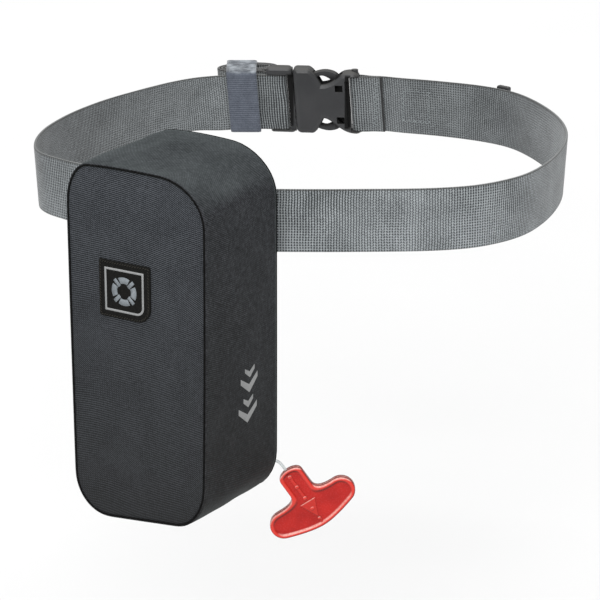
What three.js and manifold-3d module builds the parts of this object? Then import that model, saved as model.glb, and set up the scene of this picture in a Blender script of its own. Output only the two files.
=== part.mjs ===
// Inflatable belt pack: a webbing belt fastened in a loop round the waist, with a tall soft pouch
// on its near left side and a pull handle on a short cord.
// Millimetres, +X right, +Y to the back (the buckle), +Z up. The origin is the middle of the waist opening.
import * as THREE from 'three';
import { mergeVertices } from 'three/addons/utils/BufferGeometryUtils.js';
import Module from 'manifold-3d';

const wasm = await Module();
wasm.setup();

// Sizes shared by all pieces
const clearance = 0.35;
const clothWall = 2;

// Belt: webbing on edge all round, its width along Z
const webbingWidth = 38;
const webbingThick = 1.8;
const waistHalfWidth = 165;
const waistHalfDepth = 132.5;
const foldLength = 18;
const sideLean = 0.05;
const buckleLean = 0.075;
const backLean = 0.18;

// Side-release buckle, along its own length (U), thickness (V) and height (Z)
const buckleX = 10;
const buckleY = 134;
const buckleRise = 1.7;
const buckleYaw = -6;
const buckleHeight = webbingWidth + 7.2;
const buckleThick = 13;
const socketLength = 45;
const socketMouth = -13.2;
const socketPlate = 2.4;
const socketNotch = 12.2;
const mouthCorner = 3.4;
const lobeRound = 5;
const lobeDropAbove = 1.9;
const lobeDropBelow = 0.2;
const buckleRound = 3;
const barRadius = 2.2;
const plugLength = 18;
const plugBarInset = 8.4;
const plugTaper = 6.3;
const plugThick = 10;
const armWidth = 2.6;
const armSwell = 2.3;
const tongueWidth = 7;
const tongueThick = 2.8;
const windowLength = 5.2;
const windowHeight = 4.6;
const windowSpread = 11;
const windowDrop = 1.7;
const slotRecess = 2.4;

// Rolled spare end and its band
const rollX = -33.5;
const rollHalfLength = 21.3;
const rollHalfDepth = 12.2;
const rollTilt = 12;
const rollTurns = 3.3;
const rollPitch = 2.4;
const rollRise = 1.5;
const bandX = -38;
const bandWidth = 20.3;
const bandThick = 1.4;

// Tab on the outside of the belt
const tabAcross = 0.792;
const tabLength = 9.6;
const tabHeight = 15;
const tabRise = 1.5;
const tabThick = 3.6;

// Pouch, in its own frame: across from its right edge (negative is left), depth from its front
const pouchWidth = 92;
const pouchDepth = 78;
const pouchTop = 46.5;
const pouchBottom = -161.5;
const pouchYaw = 30;
const pouchBackX = -13.2;
const pouchBackY = -149.5;
const bottomSlant = 7.9;
const frontLift = 2.4;
const leftTaper = 0.6;
const rightTaper = 3.2;
const topArchFront = 1.6;
const topArchBack = 3.6;
const panelCrown = 3;
const gussetSwell = 0.8;
const bindingRadius = 1.1;
const sleeveWidth = 40;
const sleeveFoot = 8;
const sleeveAcross = 0.67;

// Patch on the front panel
const patchWidth = 34.6;
const patchHeight = 33.8;
const patchCorner = 1.4;
const patchCut = 9;
const patchThick = 1.2;
const patchAcross = 52.2;
const patchZ = -22.7;

// Pull handle, a T lying flat to the viewer
const handleX = 7.5;
const handleY = -140;
const handleZ = -177.6;
const handleTilt = 34;
const handleThick = 6;
const lobeSpacing = 20.6;
const lobeRadius = 8.5;
const handleBelly = 13.1;
const stemHalf = 7.7;
const stemShift = 0.9;
const stemTop = 30.3;
const handleRim = 2.1;
const handleRecess = 0.9;

// Cord
const cordRadius = 0.9;
const cordRoute = [
  [-32.0, -138.1, -150.5],
  [-31.2, -136.6, -150.4],
  [-29.9, -135.0, -150.0],
  [-27.6, -134.4, -149.4],
  [-24.6, -135.2, -148.7],
  [-21.2, -136.8, -148.1],
  [-17.8, -138.4, -147.7],
  [-14.9, -139.5, -147.7],
  [-12.6, -140.0, -148.6],
];
const cordSeat = 4.2;

const degrees = Math.PI / 180;
const pack = new THREE.Group();

const finish = {
  webbing: { color: 0x74797b, roughness: 0.85, metalness: 0 },
  band: { color: 0x5c6472, roughness: 0.95, metalness: 0 },
  plastic: { color: 0x3f4144, roughness: 0.45, metalness: 0 },
  cloth: { color: 0x3d4247, roughness: 0.9, metalness: 0 },
  seam: { color: 0x24282b, roughness: 0.9, metalness: 0 },
  patch: { color: 0x141517, roughness: 0.8, metalness: 0 },
  cord: { color: 0xe4e8e8, roughness: 0.25, metalness: 0 },
  red: { color: 0xc4211f, roughness: 0.3, metalness: 0 },
};

function addMesh(parent, name, geometry, look) {
  const mesh = new THREE.Mesh(geometry, new THREE.MeshStandardMaterial(finish[look]));
  mesh.name = name;
  parent.add(mesh);
  return mesh;
}

// Closed body through equal rings of points: capped at both ends, or joined end to start
function loft(rings, joined = false) {
  const count = rings[0].length;
  const points = rings.flat().map((p) => p.clone());
  const faces = [];
  const steps = joined ? rings.length : rings.length - 1;
  for (let i = 0; i < steps; i += 1) {
    const a = i * count;
    const b = ((i + 1) % rings.length) * count;
    for (let j = 0; j < count; j += 1) {
      const k = (j + 1) % count;
      faces.push([a + j, a + k, b + k], [a + j, b + k, b + j]);
    }
  }
  if (!joined) {
    for (const [ring, start, flip] of [[rings[0], 0, true], [rings.at(-1), steps * count, false]]) {
      const middle = points.length;
      points.push(ring.reduce((sum, p) => sum.add(p), new THREE.Vector3()).divideScalar(count));
      for (let j = 0; j < count; j += 1) {
        const k = (j + 1) % count;
        faces.push(flip ? [middle, start + k, start + j] : [middle, start + j, start + k]);
      }
    }
  }
  let volume = 0;
  for (const [a, b, c] of faces) {
    volume += points[a].dot(new THREE.Vector3().crossVectors(points[b], points[c]));
  }
  const geometry = new THREE.BufferGeometry();
  geometry.setFromPoints(points);
  geometry.setIndex(faces.flatMap(([a, b, c]) => (volume < 0 ? [a, c, b] : [a, b, c])));
  return geometry;
}

function toSolid(geometry) {
  const bare = geometry.clone();
  bare.deleteAttribute('normal');
  bare.deleteAttribute('uv');
  const merged = mergeVertices(bare, 1e-4);
  const index = merged.index.array;
  const kept = [];
  for (let i = 0; i < index.length; i += 3) {
    const [a, b, c] = index.slice(i, i + 3);
    if (a !== b && b !== c && c !== a) {
      kept.push(a, b, c);
    }
  }
  return new wasm.Manifold(new wasm.Mesh({
    numProp: 3,
    vertProperties: new Float32Array(merged.attributes.position.array),
    triVerts: new Uint32Array(kept),
  }));
}

function toGeometry(solid) {
  const mesh = solid.getMesh();
  const geometry = new THREE.BufferGeometry();
  geometry.setAttribute('position', new THREE.BufferAttribute(new Float32Array(mesh.vertProperties), 3));
  geometry.setIndex(new THREE.BufferAttribute(new Uint32Array(mesh.triVerts), 1));
  return geometry;
}

function boxSolid(low, high) {
  const size = high.map((value, i) => value - low[i]);
  const box = new THREE.BoxGeometry(...size);
  box.translate(low[0] + size[0] / 2, low[1] + size[1] / 2, low[2] + size[2] / 2);
  return toSolid(box);
}

function postSolid(radius, x, y, halfHeight, sides = 16) {
  const post = new THREE.CylinderGeometry(radius, radius, halfHeight * 2, sides);
  post.rotateX(Math.PI / 2);
  post.translate(x, y, 0);
  return toSolid(post);
}

// Plate with its outline in X and Z and its thickness along Y, both faces rounded at the edge
function plateGeometry(shape, thick, round, roundSteps = 2, curveSteps = 5) {
  const plate = new THREE.ExtrudeGeometry(shape, {
    depth: thick - 2 * round,
    bevelEnabled: true,
    bevelThickness: round,
    bevelSize: round,
    bevelOffset: -round,
    bevelSegments: roundSteps,
    curveSegments: curveSteps,
  });
  plate.translate(0, 0, round - thick / 2);
  plate.rotateX(Math.PI / 2);
  return plate;
}

function roundedRect(left, right, low, high, corner, lowRight = corner) {
  const shape = new THREE.Shape();
  shape.moveTo(left + corner, low);
  shape.lineTo(right - lowRight, low);
  shape.absarc(right - lowRight, low + lowRight, lowRight, -Math.PI / 2, 0, false);
  shape.lineTo(right, high - corner);
  shape.absarc(right - corner, high - corner, corner, 0, Math.PI / 2, false);
  shape.lineTo(left + corner, high);
  shape.absarc(left + corner, high - corner, corner, Math.PI / 2, Math.PI, false);
  shape.lineTo(left, low + corner);
  shape.absarc(left + corner, low + corner, corner, Math.PI, Math.PI * 1.5, false);
  return shape;
}

// Pouch frame and buckle frame, seen from above
const pouchAngle = pouchYaw * degrees;
const pouchRight = new THREE.Vector2(Math.cos(pouchAngle), -Math.sin(pouchAngle));
const pouchAway = new THREE.Vector2(Math.sin(pouchAngle), Math.cos(pouchAngle));

function pouchPlan(across, depth) {
  return new THREE.Vector2(pouchBackX, pouchBackY)
    .addScaledVector(pouchRight, across)
    .addScaledVector(pouchAway, depth - pouchDepth);
}

function bucklePlan(u, v) {
  return new THREE.Vector2(u, v)
    .rotateAround(new THREE.Vector2(), buckleYaw * degrees)
    .add(new THREE.Vector2(buckleX, buckleY));
}

// Places of the buckle's pieces along U
const socketEnd = socketMouth + socketLength;
const barU = socketEnd - barRadius - 0.8;
const plugShoulder = socketMouth - clearance;
const plugEnd = plugShoulder - plugLength;
const plugBarU = plugShoulder - plugBarInset;
const wrapRadius = barRadius + clearance + webbingThick / 2;
const layerStep = webbingThick + clearance;
const foldU = barU + foldLength;

// The waist loop: shares of the half width and half depth, from the buckle's right side round to its left
const waistStations = [
  { across: 0.409, away: 0.942 },
  { across: 0.567, away: 0.876 },
  { across: 0.735, away: 0.777 },
  { across: 0.841, away: 0.668 },
  { across: 0.915, away: 0.503 },
  { across: 0.984, away: 0.219 },
  { across: 1.0, away: -0.053 },
  { across: 0.972, away: -0.29 },
  { across: 0.888, away: -0.589 },
  { across: 0.787, away: -0.789 },
  { across: 0.64, away: -0.926 },
  { across: 0.491, away: -0.98 },
  { across: 0.2, away: -1.0 },
  { across: -0.06, away: -1.0 },
];
const leftStations = [
  { across: -0.797, away: -0.596 },
  { across: -0.872, away: -0.519 },
  { across: -0.937, away: -0.435 },
  { across: -0.968, away: -0.355 },
  { across: -0.979, away: -0.22 },
  { across: -0.969, away: -0.07 },
  { across: -0.944, away: 0.06 },
  { across: -0.878, away: 0.27 },
  { across: -0.779, away: 0.485 },
  { across: -0.67, away: 0.66 },
  { across: -0.52, away: 0.855 },
  { across: -0.4, away: 0.955 },
  { across: -0.24, away: 1.01 },
];
const beltBehindPouch = pouchDepth + 0.6 + webbingThick / 2;
const sleeveMiddle = -sleeveAcross * pouchWidth;

function atWaist({ across, away }) {
  return new THREE.Vector2(across * waistHalfWidth, away * waistHalfDepth);
}

// Half turn of webbing round a bar, in the buckle frame, from one side of it to the other
function barWrap(u, side, fromAngle, toAngle) {
  const turn = [];
  const steps = 8;
  for (let i = 1; i < steps; i += 1) {
    const angle = (fromAngle + ((toAngle - fromAngle) * i) / steps) * degrees;
    turn.push(bucklePlan(u + side * wrapRadius * Math.cos(angle), wrapRadius * Math.sin(angle)));
  }
  return turn;
}

function smoothPath(points, steps) {
  const stations = points.map((p) => new THREE.Vector3(p.x, p.y, 0));
  const curve = new THREE.CatmullRomCurve3(stations, false, 'centripetal');
  return curve.getPoints(steps).map((p) => new THREE.Vector2(p.x, p.y));
}

const foldLayer = smoothPath([
  bucklePlan(foldU, -layerStep),
  bucklePlan(barU + foldLength * 0.6, -layerStep + 0.25),
  bucklePlan(barU + foldLength * 0.25, -wrapRadius + 0.35),
  bucklePlan(barU, -wrapRadius),
], 9);
const mainStations = [
  bucklePlan(barU, wrapRadius),
  bucklePlan(barU + foldLength * 0.25, wrapRadius - 0.9),
  bucklePlan(barU + foldLength * 0.6, 0.5),
  bucklePlan(foldU, 0),
  ...waistStations.map(atWaist),
  ...[0.68, 0.56, 0, -0.56, -0.68].map((share) => (
    pouchPlan(sleeveMiddle + share * sleeveWidth, beltBehindPouch)
  )),
  ...leftStations.map(atWaist),
  bucklePlan(plugEnd - 1, -wrapRadius + 0.1),
  bucklePlan(plugBarU, -wrapRadius),
];
const mainLayer = smoothPath(mainStations, (mainStations.length - 1) * 5);
const returnLayer = [
  bucklePlan(plugBarU, wrapRadius),
  bucklePlan(plugBarU - 3, wrapRadius),
];
const beltPath = [
  ...foldLayer,
  ...barWrap(barU, -1, -90, 90),
  ...mainLayer,
  ...barWrap(plugBarU, 1, -90, 90),
  ...returnLayer,
];

// The upper edge leans outwards at both sides and to the left at the buckle
function leanAt(p) {
  const side = THREE.MathUtils.smoothstep(Math.abs(p.x), waistHalfWidth * 0.6, waistHalfWidth);
  const nearBuckle = 1 - THREE.MathUtils.smoothstep(Math.abs(p.x - buckleX), 72, 110);
  const farHalf = p.y > 0 ? 1 : 0;
  return sideLean * side * Math.sign(p.x) - buckleLean * nearBuckle * farHalf;
}

// The lower edge kicks out to the back between the band and the left bend
function kickAt(p) {
  const left = -p.x / waistHalfWidth;
  const grow = THREE.MathUtils.smoothstep(left, 0.32, 0.46);
  const fade = 1 - THREE.MathUtils.smoothstep(left, 0.66, 0.9);
  return p.y > 0 ? backLean * grow * fade : 0;
}

function strip(path, lifts = [], leaning = true) {
  const half = webbingWidth / 2;
  const rings = path.map((p, i) => {
    const before = path[Math.max(i - 1, 0)];
    const after = path[Math.min(i + 1, path.length - 1)];
    const along = after.clone().sub(before).normalize();
    const normal = new THREE.Vector2(-along.y, along.x).multiplyScalar(webbingThick / 2);
    const lean = leaning ? leanAt(p) : 0;
    const kick = leaning ? kickAt(p) : 0;
    const lift = lifts[i] ?? 0;
    return [[1, -1], [1, 1], [-1, 1], [-1, -1]].map(([side, end]) => {
      const z = end * half;
      return new THREE.Vector3(
        p.x + side * normal.x + lean * z,
        p.y + side * normal.y + kick * (half - z),
        z + lift,
      );
    });
  });
  return loft(rings);
}

addMesh(pack, 'belt_webbing', strip(beltPath), 'webbing');

// Everything at the buckle leans together: X slips to the left with height
const buckleSide = new THREE.Group();
buckleSide.matrixAutoUpdate = false;
buckleSide.matrix.set(1, 0, -buckleLean, 0, 0, 1, 0, 0, 0, 0, 1, 0, 0, 0, 0, 1);
pack.add(buckleSide);

const buckle = new THREE.Group();
buckle.position.set(buckleX, buckleY, buckleRise);
buckle.rotation.z = buckleYaw * degrees;
buckleSide.add(buckle);

// Half of the socket outline from the mouth corner to the bar end, above (side 1) or below (side -1)
function socketSide(side) {
  const half = buckleHeight / 2;
  const at = (share) => socketMouth + socketLength * share;
  const notchU = at(0.43);
  const lobeTop = half - (side > 0 ? lobeDropAbove : lobeDropBelow);
  const edge = new THREE.Path();
  edge.moveTo(socketMouth, half - mouthCorner);
  edge.absarc(socketMouth + mouthCorner, half - mouthCorner, mouthCorner, Math.PI, Math.PI / 2, true);
  edge.lineTo(at(0.24), half);
  edge.quadraticCurveTo(at(0.32), half - 1, notchU, socketNotch);
  const [bend, flank] = side > 0 ? [0.54, 0.68] : [0.49, 0.62];
  edge.quadraticCurveTo(at(bend), socketNotch, at(flank), half - 5);
  edge.quadraticCurveTo(at(0.75), lobeTop, socketEnd - lobeRound, lobeTop);
  edge.absarc(socketEnd - lobeRound, lobeTop - lobeRound, lobeRound, Math.PI / 2, 0, true);
  return edge.getPoints(6).map((p) => new THREE.Vector2(p.x, side * p.y));
}

function socketShape() {
  return new THREE.Shape([...socketSide(-1), ...socketSide(1).toReversed()]);
}

const slotBelow = webbingWidth / 2 + buckleRise + clearance;
const slotAbove = webbingWidth / 2 - buckleRise + clearance;
const cavityHalf = buckleHeight / 2 - socketPlate;
const cavityDepth = buckleThick / 2 - socketPlate;
const slotStart = barU - wrapRadius - webbingThick / 2 - clearance;
const cavityEnd = slotStart - slotRecess - 1.2;

function socketGeometry() {
  const big = buckleThick;
  let body = toSolid(plateGeometry(socketShape(), buckleThick, buckleRound));
  body = body.subtract(boxSolid(
    [socketMouth - 1, -cavityDepth, -cavityHalf],
    [cavityEnd, cavityDepth, cavityHalf],
  ));
  body = body.subtract(boxSolid([slotStart, -big, -slotBelow], [socketEnd + 1, big, slotAbove]));
  for (const side of [-1, 1]) {
    const [low, high] = side < 0 ? [-big, -socketPlate] : [socketPlate, big];
    body = body.subtract(boxSolid(
      [slotStart - slotRecess, low, -slotBelow + 3],
      [slotStart + 1, high, slotAbove - 3],
    ));
  }
  body = body.add(postSolid(barRadius, barU, 0, slotBelow + 0.6));
  for (const side of [-1, 1]) {
    const z = side * windowSpread - windowDrop;
    const windowEnd = cavityEnd - 0.4;
    const windowBack = -cavityDepth + 1;
    body = body.subtract(boxSolid(
      [windowEnd - windowLength, -big, z - windowHeight / 2],
      [windowEnd, windowBack, z + windowHeight / 2],
    ));
  }
  return toGeometry(body);
}

addMesh(buckle, 'buckle_socket', socketGeometry(), 'plastic');

// Sprung arm as a plate that follows its middle line and swells inwards near the socket
function armGeometry(side) {
  const stations = [
    { reach: -0.03, height: 0.62 },
    { reach: 0.2, height: 0.75 },
    { reach: 0.3, height: 0.765 },
    { reach: 0.41, height: 0.83 },
    { reach: 0.5, height: 0.85 },
    { reach: 0.61, height: 0.8 },
    { reach: 0.68, height: 0.68 },
  ];
  const line = new THREE.CatmullRomCurve3(stations.map(({ reach, height }) => (
    new THREE.Vector3(socketMouth + socketLength * reach, 0, (side * height * buckleHeight) / 2)
  )));
  const halfThick = cavityDepth - 0.6;
  const rings = line.getPoints(16).map((p, i) => {
    const along = line.getTangent(i / 16);
    const normal = new THREE.Vector3(-along.z, 0, along.x);
    const swell = armSwell * THREE.MathUtils.smoothstep(i / 16, 0.5, 0.85);
    const reach = (a) => armWidth / 2 + (a === side ? 0 : swell);
    return [[1, -1], [1, 1], [-1, 1], [-1, -1]].map(([a, b]) => p.clone()
      .addScaledVector(normal, a * reach(a))
      .add(new THREE.Vector3(0, b * halfThick, 0)));
  });
  return loft(rings);
}

// Wedge that is cut off the plug's back corner at its far end
function taperSolid() {
  const far = plugEnd - 1;
  const shape = new THREE.Shape([
    [far, -plugThick / 2 - 0.5],
    [plugEnd, -plugThick / 2 - 0.5],
    [plugEnd + plugTaper, plugThick / 2 + 0.5],
    [far, plugThick / 2 + 0.5],
  ].map(([u, v]) => new THREE.Vector2(u, v)));
  const wedge = new THREE.ExtrudeGeometry(shape, { depth: 2 * buckleHeight, bevelEnabled: false });
  wedge.translate(0, 0, -buckleHeight);
  return toSolid(wedge);
}

function plugGeometry() {
  const half = buckleHeight / 2;
  const railShape = roundedRect(plugEnd, plugShoulder, -half, half, 3);
  const shoulder = plugBarU + wrapRadius + webbingThick / 2 + clearance;
  let body = toSolid(plateGeometry(railShape, plugThick, 2));
  const inner = slotBelow;
  body = body.subtract(boxSolid(
    [plugEnd - 1, -buckleThick, -slotBelow],
    [plugShoulder + 1, buckleThick, slotAbove],
  ));
  body = body.subtract(taperSolid());
  body = body.add(postSolid(barRadius, plugBarU, 0, inner + 0.6));
  const endBar = plugEnd + plugTaper - 1.6;
  body = body.add(boxSolid([endBar, -1.8, -inner - 0.6], [endBar + 2, 1.8, inner + 0.6]));
  body = body.add(boxSolid([shoulder, -2.8, -inner - 0.6], [plugShoulder, 2.8, inner + 0.6]));
  body = body.add(boxSolid(
    [plugShoulder - 1, -tongueThick / 2, -tongueWidth / 2],
    [cavityEnd - 6, tongueThick / 2, tongueWidth / 2],
  ));
  for (const side of [-1, 1]) {
    body = body.add(toSolid(armGeometry(side)));
  }
  return toGeometry(body);
}

addMesh(buckle, 'buckle_plug', plugGeometry(), 'plastic');

// Rolled spare end: an oval spiral on the outside of the belt, entered from the plug
const beltAtRoll = mainLayer.filter((p) => p.y > 0).reduce(
  (best, p) => (Math.abs(p.x - rollX) < Math.abs(best.x - rollX) ? p : best),
);
const rollAngle = rollTilt * degrees;
const rollExtent = Math.hypot(rollHalfDepth * Math.cos(rollAngle), rollHalfLength * Math.sin(rollAngle));
const rollY = beltAtRoll.y + webbingThick + clearance + 0.6 + rollExtent;
const leadSteps = 8;

function rollPoint(turn) {
  const angle = -Math.PI / 2 - turn * 2 * Math.PI;
  return new THREE.Vector2(
    (rollHalfLength - rollPitch * turn) * Math.cos(angle),
    (rollHalfDepth - rollPitch * turn) * Math.sin(angle),
  ).rotateAround(new THREE.Vector2(), rollAngle).add(new THREE.Vector2(rollX, rollY));
}

function rollPath() {
  const lead = smoothPath([
    bucklePlan(plugBarU - 3 - clearance, wrapRadius),
    bucklePlan(plugEnd - 2, wrapRadius + 0.3),
    rollPoint(0),
  ], leadSteps);
  const stepsPerTurn = 28;
  const turns = [];
  for (let i = 1; i <= rollTurns * stepsPerTurn; i += 1) {
    turns.push(rollPoint(i / stepsPerTurn));
  }
  return [...lead, ...turns];
}

const rollLine = rollPath();
const rollLifts = rollLine.map((_, i) => (
  rollRise * THREE.MathUtils.smoothstep(i, leadSteps / 2, leadSteps * 1.5)
));
addMesh(buckleSide, 'belt_tail_roll', strip(rollLine, rollLifts, false), 'webbing');

// Band round the roll and the belt: a rounded ring seen along X
function bandGeometry() {
  const inBand = (p) => p.y > 0 && Math.abs(p.x - bandX) < bandWidth / 2 + 3;
  const nearest = Math.min(...mainLayer.filter(inBand).map((p) => p.y));
  const farthest = Math.max(...rollLine.filter(inBand).map((p) => p.y));
  const front = nearest - webbingThick / 2 - clearance;
  const back = farthest + webbingThick / 2 + clearance;
  const low = -webbingWidth / 2 - clearance;
  const high = webbingWidth / 2 + rollRise + clearance;
  const outer = roundedRect(front - bandThick, back + bandThick, low - bandThick, high + bandThick, 3);
  outer.holes.push(roundedRect(front, back, low, high, 0.5));
  const ring = new THREE.ExtrudeGeometry(outer, { depth: bandWidth, bevelEnabled: false, curveSegments: 4 });
  ring.translate(0, 0, -bandWidth / 2);
  ring.rotateX(Math.PI / 2);
  ring.rotateZ(Math.PI / 2);
  ring.translate(bandX, 0, 0);
  return ring;
}

addMesh(buckleSide, 'tail_band', bandGeometry(), 'band');

// Tab on the outer face of the belt
function addTab() {
  const index = mainLayer.findIndex((p) => p.x > tabAcross * waistHalfWidth);
  const along = mainLayer[index + 1].clone().sub(mainLayer[index - 1]).normalize();
  const outward = new THREE.Vector2(-along.y, along.x);
  const tab = new THREE.Group();
  const offset = webbingThick / 2 + clearance + 0.5 + tabThick / 2;
  const place = mainLayer[index].clone().addScaledVector(outward, offset);
  tab.position.set(place.x, place.y, webbingWidth / 2 + tabRise - tabHeight / 2);
  tab.rotation.z = Math.atan2(along.y, along.x);
  const shape = roundedRect(-tabLength / 2, tabLength / 2, -tabHeight / 2, tabHeight / 2, 1.2);
  addMesh(tab, 'belt_side_tab', plateGeometry(shape, tabThick, 0.8), 'plastic');
  pack.add(tab);
}

addTab();

// Pouch frame: X runs from left (negative) to the right edge (0), Y from the front (0) to the back
const pouch = new THREE.Group();
const pouchFront = pouchPlan(0, 0);
pouch.position.set(pouchFront.x, pouchFront.y, 0);
pouch.rotation.z = -pouchAngle;
pack.add(pouch);

// Corner radii of the pouch outline: shares of its width and height
const pouchCorners = [
  { right: 1, up: 1, acrossRadius: 0.32, heightRadius: 0.125, from: 0 },
  { right: 0, up: 1, acrossRadius: 0.15, heightRadius: 0.11, from: 90, backGrow: 1.5 },
  { right: 0, up: 0, acrossRadius: 0.26, heightRadius: 0.125, from: 180 },
  { right: 1, up: 0, acrossRadius: 0.21, heightRadius: 0.12, from: 270 },
];
const pouchHeight = pouchTop - pouchBottom;

function pouchOutline(inset, depth) {
  const points = [];
  const steps = 7;
  pouchCorners.forEach(({ right, up, acrossRadius, heightRadius, from, backGrow = 1 }) => {
    const grow = THREE.MathUtils.lerp(1, backGrow, depth / pouchDepth);
    const rx = acrossRadius * pouchWidth * grow;
    const rz = heightRadius * pouchHeight * grow;
    const cx = right ? -rx : -pouchWidth + rx;
    const cz = up ? pouchTop - rz : pouchBottom + rz;
    for (let i = 0; i <= steps; i += 1) {
      const angle = (from + (90 * i) / steps) * degrees;
      points.push(new THREE.Vector2(cx + rx * Math.cos(angle), cz + rz * Math.sin(angle)));
    }
  });
  const joined = points.flatMap((p, i) => {
    const next = points[(i + 1) % points.length];
    return i % (steps + 1) === steps ? [p, p.clone().lerp(next, 1 / 3), p.clone().lerp(next, 2 / 3)] : [p];
  });
  const deep = depth / pouchDepth;
  const shaped = joined.map((p) => {
    const down = (pouchTop - p.y) / pouchHeight;
    const fromMiddle = (p.x + pouchWidth / 2) / (pouchWidth / 2);
    const taper = fromMiddle < 0 ? leftTaper : THREE.MathUtils.lerp(rightTaper, leftTaper, deep);
    const arch = THREE.MathUtils.lerp(topArchFront, topArchBack, deep);
    const nearTop = Math.max(0, 1 - down / 0.25);
    return new THREE.Vector2(
      p.x - fromMiddle * taper * down * down,
      p.y + (p.x / pouchWidth) * bottomSlant * down
        + frontLift * (1 - deep) * down * down
        + arch * (1 - fromMiddle * fromMiddle) * (1 - fromMiddle / 2) * nearTop * nearTop,
    );
  });
  return shaped.map((p, i) => {
    const before = shaped[(i + shaped.length - 1) % shaped.length];
    const after = shaped[(i + 1) % shaped.length];
    const along = after.clone().sub(before).normalize();
    return new THREE.Vector2(p.x - along.y * inset, p.y + along.x * inset);
  });
}

const bindingWidth = 2 * bindingRadius;
const panelInset = bindingWidth + clearance;

// Panel: an outline drawn in towards its middle in rings, pushed out along the depth by the crown
function panelGeometry(frontDepth, outwards, crown) {
  const edge = pouchOutline(panelInset, frontDepth);
  const middle = edge.reduce((sum, p) => sum.add(p), new THREE.Vector2()).divideScalar(edge.length);
  const rings = [];
  const profile = [
    { share: 0.3, rise: 1 },
    { share: 0.66, rise: 1 },
    { share: 0.8, rise: 0.82 },
    { share: 0.92, rise: 0.45 },
    { share: 1, rise: 0 },
  ];
  const ringAt = (share, depth) => edge.map((p) => {
    const q = middle.clone().lerp(p, share);
    return new THREE.Vector3(q.x, depth, q.y);
  });
  for (const { share, rise } of profile) {
    rings.push(ringAt(share, frontDepth + outwards * crown * rise));
  }
  for (const { share, rise } of profile.toReversed()) {
    rings.push(ringAt(share, frontDepth + outwards * (crown * rise - clothWall)));
  }
  return loft(rings);
}

addMesh(pouch, 'pouch_front_panel', panelGeometry(0.1, -1, panelCrown), 'cloth');
addMesh(pouch, 'pouch_back_panel', panelGeometry(pouchDepth - 0.1, 1, 0), 'cloth');

// Gusset: a wall section that runs round the outline, swollen a little at its middle
function gussetGeometry() {
  const start = bindingWidth + clearance;
  const length = pouchDepth - 2 * start;
  const profile = [
    { share: 0, swell: 0 },
    { share: 0.15, swell: 0.55 },
    { share: 0.5, swell: 1 },
    { share: 0.85, swell: 0.55 },
    { share: 1, swell: 0 },
  ];
  const layerAt = ({ share, swell }, wall) => {
    const depth = start + share * length;
    return { line: pouchOutline(wall - swell * gussetSwell, depth), depth };
  };
  const section = [
    ...profile.map((station) => layerAt(station, 0)),
    ...profile.toReversed().map((station) => layerAt(station, clothWall)),
  ];
  const rings = section[0].line.map((_, i) => section.map(({ line, depth }) => (
    new THREE.Vector3(line[i].x, depth, line[i].y)
  )));
  return loft(rings, true);
}

addMesh(pouch, 'pouch_gusset', gussetGeometry(), 'cloth');

function bindingGeometry(depth) {
  const sides = 6;
  const rings = [];
  const lines = [];
  for (let i = 0; i < sides; i += 1) {
    const angle = (i / sides) * 2 * Math.PI;
    lines.push({
      line: pouchOutline(bindingRadius - bindingRadius * Math.cos(angle), depth),
      depth: depth + bindingRadius * Math.sin(angle),
    });
  }
  for (let i = 0; i < lines[0].line.length; i += 1) {
    rings.push(lines.map(({ line, depth: y }) => new THREE.Vector3(line[i].x, y, line[i].y)));
  }
  return loft(rings, true);
}

addMesh(pouch, 'front_seam_binding', bindingGeometry(bindingRadius), 'seam');
addMesh(pouch, 'back_seam_binding', bindingGeometry(pouchDepth - bindingRadius), 'seam');

// Sleeve behind the pouch: a strip with a foot above and below, standing off over the belt
function sleeveGeometry() {
  const near = pouchDepth + clearance;
  const over = beltBehindPouch + webbingThick / 2 + 0.6;
  const half = webbingWidth / 2 + 1;
  const shape = new THREE.Shape();
  const outerHalf = half + clothWall + sleeveFoot;
  const upper = [
    [near, outerHalf],
    [near + clothWall, outerHalf],
    [near + clothWall, half + clothWall],
    [over + clothWall, half + clothWall],
  ];
  const inner = [[over, half], [near, half]];
  const outline = [
    ...upper,
    ...upper.toReversed().map(([depth, z]) => [depth, -z]),
    ...inner.toReversed().map(([depth, z]) => [depth, -z]),
    ...inner,
  ];
  shape.setFromPoints(outline.map(([depth, z]) => new THREE.Vector2(depth, z)));
  const sleeve = new THREE.ExtrudeGeometry(shape, { depth: sleeveWidth, bevelEnabled: false });
  sleeve.translate(0, 0, -sleeveWidth / 2);
  sleeve.rotateX(Math.PI / 2);
  sleeve.rotateZ(Math.PI / 2);
  sleeve.translate(sleeveMiddle, 0, 0);
  return sleeve;
}

addMesh(pouch, 'pouch_belt_sleeve', sleeveGeometry(), 'cloth');

function addPatch() {
  const halfWidth = patchWidth / 2;
  const halfHeight = patchHeight / 2;
  const shape = roundedRect(-halfWidth, halfWidth, -halfHeight, halfHeight, patchCorner, patchCut);
  const patch = addMesh(pouch, 'front_patch', plateGeometry(shape, patchThick, 0.35, 1), 'patch');
  patch.position.set(-patchAcross, 0.1 - panelCrown - clearance - patchThick / 2, patchZ);
}

addPatch();

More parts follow.
